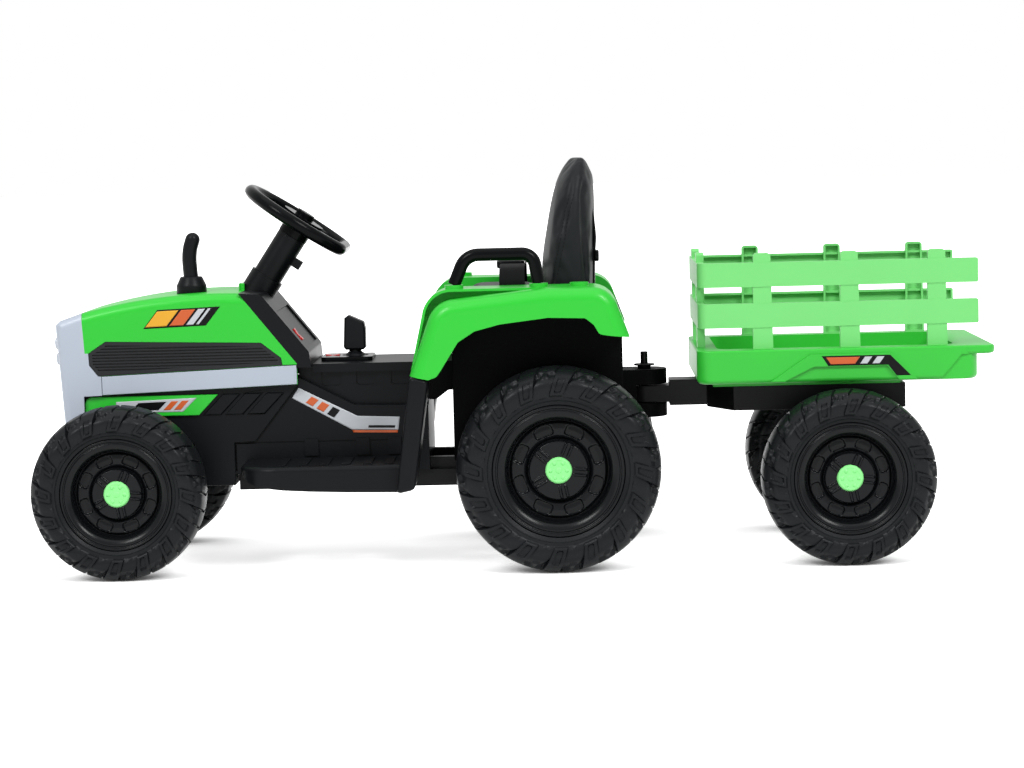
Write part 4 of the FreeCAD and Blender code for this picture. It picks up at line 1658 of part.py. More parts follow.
def build_bed():
    outer = plan_prism(rectangle(BED_X0, BED_X1, -BED_HALF, BED_HALF, BED_CORNER_RADIUS), BED_LOW_Z, BED_TOP_Z)
    outer = rounded_level(outer, BED_LOW_Z, BED_EDGE_RADIUS)
    tail_x = TRAILER_X + TRAILER_TAIL
    lip = plan_prism(rectangle(BED_X1 - LIP_RADIUS * 2, tail_x, -BED_HALF, BED_HALF, LIP_RADIUS),
                     BED_TOP_Z - LIP_HEIGHT, BED_TOP_Z)
    lip = rounded_level(lip, BED_TOP_Z - LIP_HEIGHT, LIP_EDGE_RADIUS)
    shell = rounded_level(union([outer, lip]), BED_TOP_Z, BED_RIM_RADIUS)
    plinth = block(TRAILER_X - PLINTH_FRONT_AHEAD, TRAILER_X + PLINTH_REAR_BEHIND, -PLINTH_HALF, PLINTH_HALF,
                   PLINTH_LOW_Z, BED_LOW_Z + BED_FLOOR / 2)
    well_x0 = BED_X0 + BED_LEDGE_END
    well_x1 = BED_X1 - BED_LEDGE_END
    well_half = BED_HALF - BED_LEDGE_SIDE
    well = plan_prism(rectangle(well_x0, well_x1, -well_half, well_half, BED_CAVITY_RADIUS),
                      BED_LOW_Z + BED_FLOOR, BED_TOP_Z + OVERCUT)
    wall = BED_WALL
    moat_half = BED_HALF - wall
    moat = plan_prism(rectangle(BED_X0 + wall, BED_X1 - wall, -moat_half, moat_half, BED_CORNER_RADIUS - wall),
                      BED_LOW_Z - OVERCUT, BED_TOP_Z - wall)
    keep_half = well_half + wall
    keep = rectangle(well_x0 - wall, well_x1 + wall, -keep_half, keep_half, BED_CAVITY_RADIUS + wall)
    keep = plan_prism(keep, BED_LOW_Z - 2 * OVERCUT, BED_TOP_Z)
    length = BED_REAR_BEHIND
    band = placed(BAND_OUTER_shares + BAND_INNER_shares, TRAILER_X, BED_LOW_Z, length, BED_HEIGHT)
    band = side_prism(band, -BED_HALF - BAND_RISE, -BED_HALF)
    corner = placed(CORNER_RECESS_shares, TRAILER_X, BED_LOW_Z, length, BED_HEIGHT)
    corner = side_prism(corner, -BED_HALF - OVERCUT, -BED_HALF + CORNER_RECESS_DEPTH)
    hollows = [well, moat.cut(keep), corner, mirrored(corner)]
    return shell.cut(hollows).fuse([plinth, band, mirrored(band)])


def rounded_level(solid, height, radius):
    """Round the edges that lie all in one level plane."""
    level = []
    for e in solid.Edges:
        box = e.BoundBox
        if abs(box.ZMin - height) + abs(box.ZMax - height) < PRESS_GAP:
            level.append(e)
    return solid.makeFillet(radius, level)


def post_outline(middle):
    half = POST_WIDTH / 2
    top = BED_TOP_Z + POST_HEIGHT
    return [(middle + half, BED_TOP_Z), (middle + half - POST_TAPER, top, POST_TOP_RADIUS),
            (middle - half + POST_TAPER, top, POST_TOP_RADIUS), (middle - half, BED_TOP_Z)]


def open_backed(outline, prism, face, depth):
    """Fence bar with a skin at its face and walls round its edge, hollow from the back."""
    pocket = prism(inset(outline, FENCE_SKIN), face + FENCE_SKIN, face + depth + OVERCUT)
    return prism(outline, face, face + depth).cut(pocket)


def fence_rails(u0, u1):
    """Outlines of the two rails of a fence between two ends."""
    outlines = []
    for height in (LOWER_RAIL_HEIGHT, UPPER_RAIL_HEIGHT):
        low = BED_TOP_Z + height
        high = low + FENCE_RAIL_HEIGHT
        outlines.append([(u0, low), (u1, low, FENCE_END_RADIUS), (u1, high, FENCE_END_RADIUS), (u0, high)])
    return outlines


def rail_bend(x, y, low, high):
    """Quarter bend at the front end of a side rail, from the side plane y to the front plane x."""
    radius = FENCE_BEND_RADIUS
    centre = V(x + radius, y + radius, low)
    core = rod(centre + V(0, 0, FENCE_SKIN), V(0, 0, 1), high - low - 2 * FENCE_SKIN, radius - FENCE_SKIN)
    quarter = block(x, x + radius, y, y + radius, low, high)
    return rod(centre, V(0, 0, 1), high - low, radius).cut(core).common(quarter)


def build_side_fence():
    face = -FENCE_SPREAD
    front = TRAILER_X - FENCE_FRONT_AHEAD
    pieces = []
    for i in range(POST_COUNT):
        middle = TRAILER_X + FENCE_MID_BEHIND + (i - (POST_COUNT - 1) / 2) * POST_PITCH
        pieces.append(open_backed(post_outline(middle), side_prism, face + POST_SETBACK, POST_DEPTH))
    for outline in fence_rails(front + FENCE_BEND_RADIUS, TRAILER_X + FENCE_REAR_BEHIND):
        pieces.append(open_backed(outline, side_prism, face, FENCE_RAIL_DEPTH))
        pieces.append(rail_bend(front, face, outline[0][1], outline[-1][1]))
    return union(pieces)


def build_front_fence():
    face = TRAILER_X - FENCE_FRONT_AHEAD
    pieces = []
    for side in SIDES:
        outline = post_outline(side * FRONT_POST_SPREAD)
        pieces.append(open_backed(outline, end_prism, face + POST_SETBACK, POST_DEPTH))
    for outline in fence_rails(-FRONT_FENCE_HALF, FRONT_FENCE_HALF):
        pieces.append(open_backed(outline, end_prism, face, FENCE_RAIL_DEPTH))
    return union(pieces)


def build_trailer_frame():
    top = PLINTH_LOW_Z
    low = WAIST_Z - FRAME_BOTTOM_DROP
    x0 = TRAILER_X - FRAME_FRONT_AHEAD
    x1 = TRAILER_X + FRAME_REAR_BEHIND
    right = [(x1, FRAME_HALF), (x0 + FRAME_FLARE, FRAME_HALF), (x0, TONGUE_HALF)]
    plan = right + [(x, -y) for x, y in reversed(right)]
    tray = plan_prism(plan, low, top)
    hollow = plan_prism(inset(plan, FRAME_WALL), low - OVERCUT, top - FRAME_WALL)
    bar = block(HITCH_X + BAR_START, x0 + FRAME_WALL, -TONGUE_HALF, TONGUE_HALF,
                WAIST_Z - BAR_BOTTOM_DROP, WAIST_Z - BAR_TOP_DROP)
    tongue_low = WAIST_Z - TONGUE_BOTTOM_DROP
    tongue_high = WAIST_Z - TONGUE_TOP_DROP
    tongue_x1 = HITCH_X + BAR_START + FRAME_WALL
    tongue = block(HITCH_X, tongue_x1, -TONGUE_HALF, TONGUE_HALF, tongue_low, tongue_high)
    nose = rod(V(HITCH_X, 0, tongue_low), V(0, 0, 1), tongue_high - tongue_low, TONGUE_HALF)
    hole_start = V(HITCH_X, 0, WAIST_Z - 2 * TONGUE_BOTTOM_DROP)
    hole = rod(hole_start, V(0, 0, 1), 2 * TONGUE_BOTTOM_DROP, PIN_RADIUS + PIN_PLAY)
    foot = TRAILER_AXLE.z - HANGER_BELOW_AXLE
    hanger = [(TRAILER_X - HANGER_TOP_HALF, low + FRAME_WALL), (TRAILER_X + HANGER_TOP_HALF, low + FRAME_WALL),
              (TRAILER_X + HANGER_FOOT_HALF, foot, HANGER_RADIUS),
              (TRAILER_X - HANGER_FOOT_HALF, foot, HANGER_RADIUS)]
    left = side_prism(hanger, -FRAME_HALF, -FRAME_HALF + HANGER_THICKNESS)
    bore_start = V(TRAILER_X, -OVERALL_WIDTH, TRAILER_AXLE.z)
    bore = rod(bore_start, V(0, 1, 0), 2 * OVERALL_WIDTH, AXLE_RADIUS + PRESS_GAP)
    return union([tray.cut(hollow), bar, tongue, nose, left, mirrored(left)]).cut([hole, bore])


def build_all():
    os.makedirs("parts", exist_ok=True)
    save_wheels("front", FRONT_AXLE, FRONT_WHEEL_Y, FRONT_TYRE_RADIUS, FRONT_TYRE_WIDTH)
    save_wheels("rear", REAR_AXLE, REAR_WHEEL_Y, REAR_TYRE_RADIUS, REAR_TYRE_WIDTH)
    save_wheels("trailer", TRAILER_AXLE, FRONT_WHEEL_Y, FRONT_TYRE_RADIUS, FRONT_TYRE_WIDTH)
    save("rear_axle", straight_axle(REAR_AXLE, REAR_WHEEL_Y, REAR_TYRE_RADIUS, REAR_TYRE_WIDTH))
    save("trailer_axle", straight_axle(TRAILER_AXLE, FRONT_WHEEL_Y, FRONT_TYRE_RADIUS, FRONT_TYRE_WIDTH))
    nose, grille, lamps = build_nose()
    save("nose", nose)
    save("grille_insert", grille)
    save("headlamps", lamps)
    save("hood", build_hood())
    save("side_louvres", build_louvres())
    save("side_strips", build_strips())
    save("front_shroud", build_shroud())
    save("lower_panels", build_lower_panels())
    save("exhaust_stack", build_stack())
    save("dashboard", build_dash())
    save("dash_switch", dash_place(build_rocker()))
    save("steering_column", build_column())
    save("steering_wheel", build_steering_wheel())
    save("horn_button", build_horn())
    save("steering_shaft", build_shaft())
    save("front_axle_beam", build_beam())
    knuckle = build_knuckle()
    save("knuckle_left", knuckle)
    save("knuckle_right", mirrored(knuckle))
    save("tie_rod", build_tie_rod())
    save("centre_tub", build_tub())
    save("accelerator_pedal", build_pedal())
    save("console_plate", build_console_plate())
    save("console_switch", moved(build_rocker(), CONSOLE_PIVOT))
    save("selector_lever", build_lever())
    save("step_pillars", build_pillars())
    save("rear_body", build_rear_body())
    save("hitch_pin", build_hitch_pin())
    save("chassis_frame", build_chassis())
    fender = build_fender(SOCKETS)
    save("fender_left", fender)
    save("fender_right", mirrored(fender))
    save("armrest", build_armrest())
    save("seat_cushion", build_cushion())
    save("backrest", build_backrest())
    save("lap_belt", build_belt())
    save("drive_gearboxes", build_gearboxes())
    save("battery", build_battery())
    save("trailer_bed", build_bed())
    save("trailer_side_fences", both_sides(build_side_fence()))
    save("trailer_fence_front", build_front_fence())
    save("trailer_frame", build_trailer_frame())


build_all()
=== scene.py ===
# %% [markdown]
# # A child's ride-on tractor with its trailer
# This lesson dresses a finished engineering model. The frame below brings in every rigid piece at its real
# size and place, in metres. The looks are then added piece by piece: first the camera and light, then the
# finishes, then the pieces whose surface is too soft or too rich for the engineering solids.

# %% Load the frame
import math

import bmesh
import bpy
import numpy as np
from mathutils import Matrix, Vector
from mathutils.bvhtree import BVHTree


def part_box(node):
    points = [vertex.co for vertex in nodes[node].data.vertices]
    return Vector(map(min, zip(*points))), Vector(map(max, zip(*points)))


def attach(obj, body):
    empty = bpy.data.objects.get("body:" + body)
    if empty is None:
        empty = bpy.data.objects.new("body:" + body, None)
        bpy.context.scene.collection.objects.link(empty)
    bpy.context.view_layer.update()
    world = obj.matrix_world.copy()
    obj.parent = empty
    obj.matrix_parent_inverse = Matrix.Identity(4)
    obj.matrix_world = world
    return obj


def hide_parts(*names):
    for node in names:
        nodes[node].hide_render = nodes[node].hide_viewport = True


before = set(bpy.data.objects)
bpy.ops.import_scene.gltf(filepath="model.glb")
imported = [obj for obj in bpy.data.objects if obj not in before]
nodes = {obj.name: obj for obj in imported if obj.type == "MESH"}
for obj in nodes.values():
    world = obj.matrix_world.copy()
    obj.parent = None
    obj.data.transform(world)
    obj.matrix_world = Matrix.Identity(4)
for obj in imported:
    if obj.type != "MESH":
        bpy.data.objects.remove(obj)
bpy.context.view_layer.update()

# %% [markdown]
# ## The camera
# The toy is seen almost square on from its left side, slightly from above. The eye stands a little over four
# metres away, and a long lens keeps the far wheels close behind the near ones. Three small angles turn the
# view: yaw about the upright, tilt below the horizon and a slight roll.

# %% Camera
CAMERA_PLACE = Vector((0.08687, -4.15819, 0.60545))
CAMERA_YAW = 0.02175
CAMERA_TILT = 0.08645
CAMERA_ROLL = -0.02504
CAMERA_LENS = 101.21
CAMERA_SENSOR = 36.0


def aimed(yaw, tilt, roll):
    """Rotation whose columns are the picture's right, its up and the way back from the view."""
    forward = Vector((-math.sin(yaw) * math.cos(tilt), math.cos(yaw) * math.cos(tilt), -math.sin(tilt)))
    level = Vector((math.cos(yaw), math.sin(yaw), 0))
    upright = level.cross(forward)
    right = level * math.cos(roll) + upright * math.sin(roll)
    up = upright * math.cos(roll) - level * math.sin(roll)
    return Matrix((right, up, -forward)).transposed()


lens = bpy.data.cameras.new("side_view")
lens.lens = CAMERA_LENS
lens.sensor_width = CAMERA_SENSOR
camera = bpy.data.objects.new("side_view", lens)
camera.matrix_world = Matrix.Translation(CAMERA_PLACE) @ aimed(CAMERA_YAW, CAMERA_TILT, CAMERA_ROLL).to_4x4()
scene = bpy.context.scene
scene.collection.objects.link(camera)
scene.camera = camera
print("eye at:", CAMERA_PLACE)

# %% [markdown]
# ## White room
# A product picture like this is taken in a white room: an even glow from all round, one very broad lamp
# overhead and two smaller ones high at the front, left and right. The broad one keeps the shadows close under
# the wheels; the two small ones draw the highlights. Suns give the same light everywhere, so the floor stays
# even. The room is plain white where the eye or a reflection meets it.

# %% White room
WHITE = (1, 1, 1, 1)
WORLD_GLOW = 0.32
# Each sun: the direction it shines in, its strength, and its breadth in degrees.
SUNS = {
    "top": ((0, 0.12, -1), 0.9, 60),
    "left": ((0.45, 0.62, -0.64), 1.7, 20),
    "right": ((-0.50, 0.60, -0.62), 1.9, 20),
}
scene.view_settings.view_transform = "Standard"


def dial(shading, values):
    """Set the named inputs of a shading node."""
    for name, value in values.items():
        shading.inputs[name].default_value = value


def seen_directly(tree):
    """1 where a camera, mirror or glass ray meets the surface and 0 for every other ray."""
    path = tree.nodes.new("ShaderNodeLightPath")
    seen = path.outputs["Is Camera Ray"]
    for kind in ("Is Glossy Ray", "Is Transmission Ray"):
        either = tree.nodes.new("ShaderNodeMath")
        either.operation = "MAXIMUM"
        tree.links.new(seen, either.inputs[0])
        tree.links.new(path.outputs[kind], either.inputs[1])
        seen = either.outputs[0]
    return seen


def white_room():
    """Even glow for the light itself, plain white where the room is seen."""
    world = bpy.data.worlds.new("white_room")
    world.use_nodes = True
    tree = world.node_tree
    wire = tree.links.new
    glow = tree.nodes["Background"]
    dial(glow, {"Strength": WORLD_GLOW, "Color": WHITE})
    white = tree.nodes.new("ShaderNodeBackground")
    dial(white, {"Strength": 1.0, "Color": WHITE})
    mix = tree.nodes.new("ShaderNodeMixShader")
    wire(seen_directly(tree), mix.inputs["Fac"])
    wire(glow.outputs[0], mix.inputs[1])
    wire(white.outputs[0], mix.inputs[2])
    wire(mix.outputs[0], tree.nodes["World Output"].inputs["Surface"])
    return world


def sun(name, towards, strength, breadth):
    """A lamp that shines along one direction; its breadth, in degrees, softens the shadows."""
    lamp = bpy.data.lights.new(name, "SUN")
    lamp.energy = strength
    lamp.angle = math.radians(breadth)
    holder = bpy.data.objects.new(name, lamp)
    holder.rotation_euler = Vector(towards).to_track_quat("-Z", "Y").to_euler()
    scene.collection.objects.link(holder)


scene.world = white_room()
for name, (towards, strength, breadth) in SUNS.items():
    sun(name, towards, strength, breadth)
print("suns:", len(SUNS))

# %% [markdown]
# ## Paper floor
# The floor is a pale matt sheet. It adds some white of its own, only where the eye or a reflection meets it.
# That white fades under things that stand close above it, so shadows gather under the tyres.

# %% Paper floor
FLOOR_HALF = 30.0
FLOOR_ALBEDO = 0.90
FLOOR_GLOW = 0.95
FLOOR_NEAR = 0.14
FLOOR_SAMPLES = 16


def paper_finish():
    """Matt white sheet: scattered light plus a glow that fades under things closer than FLOOR_NEAR."""
    finish = bpy.data.materials.new("white_paper")
    finish.use_nodes = True
    tree = finish.node_tree
    tree.nodes.remove(tree.nodes["Principled BSDF"])
    make = tree.nodes.new
    wire = tree.links.new
    matt = make("ShaderNodeBsdfDiffuse")
    dial(matt, {"Color": (FLOOR_ALBEDO, FLOOR_ALBEDO, FLOOR_ALBEDO, 1)})
    glow = make("ShaderNodeEmission")
    share = make("ShaderNodeMath")
    share.operation = "MULTIPLY"
    nearby = make("ShaderNodeAmbientOcclusion")
    nearby.samples = FLOOR_SAMPLES
    dial(nearby, {"Distance": FLOOR_NEAR})
    open_part = make("ShaderNodeMath")
    open_part.operation = "MULTIPLY"
    dial(open_part, {1: FLOOR_GLOW})
    both = make("ShaderNodeAddShader")
    wire(nearby.outputs["AO"], open_part.inputs[0])
    wire(open_part.outputs[0], share.inputs[1])
    wire(seen_directly(tree), share.inputs[0])
    wire(share.outputs[0], glow.inputs["Strength"])
    wire(matt.outputs[0], both.inputs[0])
    wire(glow.outputs[0], both.inputs[1])
    wire(both.outputs[0], tree.nodes["Material Output"].inputs["Surface"])
    return finish


floor_mesh = bpy.data.meshes.new("floor")
corners = [(x * FLOOR_HALF, y * FLOOR_HALF, 0) for x, y in ((-1, -1), (1, -1), (1, 1), (-1, 1))]
floor_mesh.from_pydata(corners, [], [(0, 1, 2, 3)])
floor = bpy.data.objects.new("floor", floor_mesh)
floor_mesh.materials.append(paper_finish())
scene.collection.objects.link(floor)
print("floor corners:", corners)

# %% [markdown]
# ## Recipes for the finishes
# Nearly everything on this toy is injection-moulded; the rest is steel, padding, webbing and printed film. A
# few numbers tell all of it: a colour, how rough and how mirror-like it is, and how fine and deep its grain is.
# A recipe may go on with how far the colour drifts, whether it is metal, and a clear coat.

# %% Recipes for the finishes
RECIPES = {
    "green_plastic": ((0.017, 0.435, 0.024), 0.33, 0.32, 260, 0.0001, 0.015),
    "bed_green": ((0.029, 0.415, 0.034), 0.36, 0.30, 320, 0.0002, 0.02),
    "fence_green": ((0.152, 0.545, 0.154), 0.42, 0.30, 320, 0.0002, 0.02),
    "mint_plastic": ((0.225, 0.72, 0.225), 0.40, 0.30, 320, 0.0001, 0.02),
    "black_plastic": ((0.0042, 0.0048, 0.0056), 0.36, 0.09, 520, 0.0002, 0.10),
    # The next finish is black plastic made darker than it is: painted shade for the rear body in the fender's
    # shadow and for the gearboxes.
    "painted_shade_black": ((0.0020, 0.0021, 0.0022), 0.50, 0.03, 520, 0.0002, 0.10),
    "vent_black": ((0.0100, 0.0108, 0.0118), 0.42, 0.20, 520, 0.0002, 0.08),
    "gloss_black": ((0.0024, 0.0027, 0.0031), 0.20, 0.055, 300, 0.0001, 0.10),
    "rim_black": ((0.0036, 0.0041, 0.0048), 0.24, 0.13, 300, 0.0001, 0.10),
    "tyre_black": ((0.0060, 0.0068, 0.0080), 0.37, 0.12, 420, 0.0002, 0.12),
    "silver_plastic": ((0.360, 0.400, 0.468), 0.34, 0.35, 700, 0.0001, 0.02),
    "red_plastic": ((0.55, 0.016, 0.014), 0.28, 0.40, 300, 0.0001),
    "lamp_lens": ((0.45, 0.49, 0.55), 0.12, 0.50, 200, 0.0001, 0.02, 0.0, 0.4),
    "steel": ((0.50, 0.51, 0.53), 0.30, 0.50, 900, 0.0001, 0.05, 1.0),
    "black_steel": ((0.005, 0.005, 0.0055), 0.40, 0.12, 700, 0.0002, 0.10),
    "seat_cover": ((0.0070, 0.0080, 0.0092), 0.46, 0.12, 240, 0.0004, 0.08),
    "webbing": ((0.004, 0.0041, 0.0045), 0.70, 0.06, 600, 0.0006, 0.15),
    "orange_film": ((0.48, 0.085, 0.016), 0.30, 0.35, 200, 0.0001, 0.02),
    "amber_film": ((0.62, 0.31, 0.015), 0.30, 0.35, 200, 0.0001, 0.02),
    "silver_film": ((0.43, 0.45, 0.48), 0.30, 0.40, 200, 0.0001, 0.02),
    "black_film": ((0.003, 0.003, 0.0035), 0.30, 0.10, 200, 0.0001, 0.05),
}
print("recipes:", len(RECIPES))

# %% [markdown]
# ## Moulded plastic, paint and metal
# A moulding shows three things up close: a fine grain pressed into it by the tool, a slow drift of colour where
# the melt cooled, and patches that hands have polished. One function makes all the finishes from two noises
# on Object coordinates, so the pattern stays with the piece when it moves.

# %% Moulded finishes
DRIFT_SCALE = 14.0
DRIFT_DETAIL = 4.0
DRIFT_STOPS = (0.30, 0.70)
GRAIN_DETAIL = 2.0
GRAIN_STRENGTH = 0.35
POLISH = 0.03
COAT_ROUGHNESS = 0.12


def moulded(name, colour, roughness, specular, grain_scale, grain_depth, drift=0.06, metallic=0.0, coat=0.0):
    """Colour = base x (1 +/- drift x slow noise); roughness follows it too; normal from fine noise."""
    finish = bpy.data.materials.new(name)
    finish.use_nodes = True
    tree = finish.node_tree
    make = tree.nodes.new
    wire = tree.links.new
    shader = tree.nodes["Principled BSDF"]
    dial(shader, {"Specular IOR Level": specular, "Metallic": metallic})
    dial(shader, {"Coat Weight": coat, "Coat Roughness": COAT_ROUGHNESS})
    place = make("ShaderNodeTexCoord")
    slow = make("ShaderNodeTexNoise")
    dial(slow, {"Scale": DRIFT_SCALE, "Detail": DRIFT_DETAIL})
    fine = make("ShaderNodeTexNoise")
    dial(fine, {"Scale": grain_scale, "Detail": GRAIN_DETAIL})
    ramp = make("ShaderNodeValToRGB")
    for stop, position, level in zip(ramp.color_ramp.elements, DRIFT_STOPS, (1 - drift, 1 + drift)):
        stop.position = position
        stop.color = tuple(min(1.0, c * level) for c in colour) + (1,)
    polish = make("ShaderNodeMapRange")
    dial(polish, {"To Min": roughness - POLISH, "To Max": roughness + POLISH})
    bump = make("ShaderNodeBump")
    dial(bump, {"Strength": GRAIN_STRENGTH, "Distance": grain_depth})
    wire(place.outputs["Object"], slow.inputs["Vector"])
    wire(place.outputs["Object"], fine.inputs["Vector"])
    wire(slow.outputs["Fac"], ramp.inputs["Fac"])
    wire(ramp.outputs["Color"], shader.inputs["Base Color"])
    wire(slow.outputs["Fac"], polish.inputs["Value"])
    wire(polish.outputs["Result"], shader.inputs["Roughness"])
    wire(fine.outputs["Fac"], bump.inputs["Height"])
    wire(bump.outputs["Normal"], shader.inputs["Normal"])
    return finish


FINISHES = {name: moulded(name, *recipe) for name, recipe in RECIPES.items()}
print("finishes:", len(FINISHES))

# %% [markdown]
# ## Paint for the rigid pieces
# Each rigid piece takes one finish. A list of pieces for each finish reads more easily than a finish for each
# piece, and most of the toy is plain black plastic, so that is what a piece gets that is not listed.

# %% Paint for the rigid pieces
PAINTED = {
    "green_plastic": ("hood", "fender_left", "fender_right", "lower_panels"),
    "bed_green": ("trailer_bed",),
    "fence_green": ("trailer_side_fences", "trailer_fence_front"),
    "silver_plastic": ("nose", "side_strips"),
    "lamp_lens": ("headlamps",),
    "red_plastic": ("console_switch", "dash_switch"),
    "gloss_black": ("console_plate", "horn_button", "steering_wheel", "armrest", "battery"),
    "steel": ("rear_axle", "trailer_axle", "steering_shaft"),
    "black_steel": ("front_axle_beam", "knuckle_left", "knuckle_right", "tie_rod", "chassis_frame",
                    "trailer_frame", "hitch_pin"),
    "seat_cover": ("seat_cushion", "backrest"),
    "webbing": ("lap_belt",),
    # The rear body and gearboxes take the darkened black, which is painted shade for pieces that sit in shadow.
    "painted_shade_black": ("rear_body", "drive_gearboxes"),
    "vent_black": ("side_louvres", "grille_insert"),
}
finish_of = {node: name for name, group in PAINTED.items() for node in group}
for name, node in nodes.items():
    node.data.materials.clear()
    node.data.materials.append(FINISHES[finish_of.get(name, "black_plastic")])
print("painted by name:", len(finish_of), "plain black:", len(nodes) - len(finish_of))

# %% [markdown]
# ## Rounded edges
# No moulding has a knife edge. The rigid pieces arrive as loose triangles, so three modifiers prepare each
# one: Weld joins the triangles, Decimate dissolves the flat ones into whole faces, and Bevel rolls every edge
# sharper than its limit. A last modifier weighs the normals by face area so that flat faces shade flat. The
# open backs of the fences are faces with windows in them, which would close if they were dissolved, so the
# fences keep their triangles.

# %% Rounded edges
WELD_REACH = 2e-5
FLAT_LIMIT = math.radians(0.4)
EDGE_LIMIT = math.radians(32)
EDGE_STEPS = 2
EDGE_WIDTH = 0.0010
EDGE_WIDTHS = {
    "hood": 0.0016, "nose": 0.0018, "side_louvres": 0.0014, "front_shroud": 0.0018, "dashboard": 0.0018,
    "console_plate": 0.0014, "selector_lever": 0.0024, "centre_tub": 0.0020, "step_pillars": 0.0060,
    "rear_body": 0.0022, "trailer_bed": 0.0014, "trailer_side_fences": 0.0012, "trailer_fence_front": 0.0012,
}


def rolled_edges(piece, width, whole_faces):
    """Weld, dissolve if whole_faces, and bevel a rigid piece; the edge radius is width, in metres."""
    weld = piece.modifiers.new("weld", "WELD")
    weld.merge_threshold = WELD_REACH
    if whole_faces:
        flat = piece.modifiers.new("flat", "DECIMATE")
        flat.decimate_type = "DISSOLVE"
        flat.angle_limit = FLAT_LIMIT
    bevel = piece.modifiers.new("roll", "BEVEL")
    bevel.width = width
    bevel.segments = EDGE_STEPS
    bevel.limit_method = "ANGLE"
    bevel.angle_limit = EDGE_LIMIT
    normals = piece.modifiers.new("normals", "WEIGHTED_NORMAL")
    normals.keep_sharp = False


for name, node in nodes.items():
    rolled_edges(node, EDGE_WIDTHS.get(name, EDGE_WIDTH), "fence" not in name)
print("edges with a width of their own:", len(EDGE_WIDTHS))

# %% [markdown]
# ## Surfaces from grids
# A surface is a function of two parameters. Sample both on a grid and the points fall into rows and columns;
# each cell between four neighbours becomes one face. These helpers turn such arrays into a mesh, which is much
# quicker than adding faces one at a time, and hand the piece to the body that it moves with.

# %% Grid helpers
CREASE = 35
MERGE_REACH = 1e-6


def grid_faces(rows, columns, close_rows=False, close_columns=False):
    """Four-sided faces between neighbours on a grid; a closed direction joins its last line to its first."""
    row = np.arange(rows if close_rows else rows - 1)
    column = np.arange(columns if close_columns else columns - 1)
    i, j = np.meshgrid(row, column, indexing="ij")
    after_i = (i + 1) % rows
    after_j = (j + 1) % columns
    cells = (i * columns + j, i * columns + after_j, after_i * columns + after_j, after_i * columns + j)
    return np.stack(cells, axis=-1).reshape(-1, 4)


def joined(patches, close_columns=False):
    """Points and faces of several grids as one array each."""
    points = []
    faces = []
    count = 0
    for patch in patches:
        faces.append(grid_faces(*patch.shape[:2], close_columns=close_columns) + count)
        points.append(patch.reshape(-1, 3))
        count += len(points[-1])
    return np.vstack(points), np.vstack(faces)


def new_piece(name, points, faces, finish, crease=CREASE, outward=True):
    """A smooth piece from points and quads, seams and poles merged; edges over crease degrees stay sharp."""
    points = np.asarray(points, dtype=np.float32).reshape(-1, 3)
    mesh = bpy.data.meshes.new(name)
    mesh.vertices.add(len(points))
    mesh.vertices.foreach_set("co", points.ravel())
    mesh.loops.add(faces.size)
    mesh.loops.foreach_set("vertex_index", faces.astype(np.int32).ravel())
    mesh.polygons.add(len(faces))
    mesh.polygons.foreach_set("loop_start", np.arange(0, faces.size, 4, dtype=np.int32))
    mesh.update(calc_edges=True)
    shape = bmesh.new()
    shape.from_mesh(mesh)
    bmesh.ops.remove_doubles(shape, verts=shape.verts, dist=MERGE_REACH)
    if outward:
        bmesh.ops.recalc_face_normals(shape, faces=shape.faces)
    shape.to_mesh(mesh)
    shape.free()
    mesh.shade_smooth()
    mesh.set_sharp_from_angle(angle=math.radians(crease))
    piece = bpy.data.objects.new(name, mesh)
    scene.collection.objects.link(piece)
    mesh.materials.append(FINISHES[finish])
    return piece


def stand_in(piece, body, slot, *replaced):
    """The piece rides on a body and stands for rigid nodes, which are hidden; slot is not used."""
    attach(piece, body)
    if replaced:
        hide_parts(*replaced)
    print(piece.name, "faces:", len(piece.data.polygons))


print("faces of a grid of 3 by 4 points:", len(grid_faces(3, 4)))

# %% [markdown]
# ## Curves
# Moulded relief has no sharp steps, because the tool must let go of it. So the surfaces below are built from
# three soft curves: a step, a plateau with soft edges, and a smooth line through a few points.

# %% Curves
LINE_STEPS = 40


def eased(x, low, high):
    """0 below low, 1 above high and a smooth S between them."""
    t = np.clip((x - low) / (high - low), 0, 1)
    return t * t * (3 - 2 * t)


def plateau(x, centre, half, soft):
    """1 within half - soft of the centre and 0 past half + soft, with a smooth edge between."""
    return 1 - eased(np.abs(x - centre), half - soft, half + soft)


def through(points, count):
    """A smooth line through a few points (Catmull-Rom), then count points at equal steps along its length."""
    points = np.asarray(points, dtype=float)
    padded = np.vstack([2 * points[0] - points[1], points, 2 * points[-1] - points[-2]])
    t = np.linspace(0, 1, LINE_STEPS, endpoint=False)[:, None]
    a, b, c, d = (padded[k:len(padded) - 3 + k][:, None] for k in range(4))
    line = 0.5 * (2 * b + (c - a) * t + (2 * a - 5 * b + 4 * c - d) * t**2 + (3 * b - a - 3 * c + d) * t**3)
    line = np.vstack([line.reshape(-1, points.shape[1]), points[-1:]])
    length = np.r_[0, np.cumsum(np.linalg.norm(np.diff(line, axis=0), axis=1))]
    steps = np.linspace(0, length[-1], count)
    return np.stack([np.interp(steps, length, line[:, k]) for k in range(points.shape[1])], axis=1)


print("a quarter of the way along a soft step:", eased(0.25, 0, 1))

# %% [markdown]
# ## Six wheels
# The toy has three pairs of wheels, and each wheel gets a tyre, a rim and a cap. A pair's size and place are
# read from its tyre solids. A piece is drawn once round an axle at the origin, with its face towards -Y, and
# then carried to both sides.

# %% Wheel helpers
WHEELS = ("front", "rear", "trailer")


def wheel_sizes(group):
    """Radius, width and the two centres of a pair of wheels."""
    low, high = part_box(group + "_tyre_left")
    centre = (low + high) / 2
    other = sum(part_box(group + "_tyre_right"), Vector()) / 2
    return (high.z - low.z) / 2, high.y - low.y, {"left": centre, "right": other}


def about_axle(reach, place, angle):
    """Point = (reach x sin angle, place along the axle, reach x cos angle)."""
    return np.stack([reach * np.sin(angle), place + 0 * angle, reach * np.cos(angle)], axis=-1)


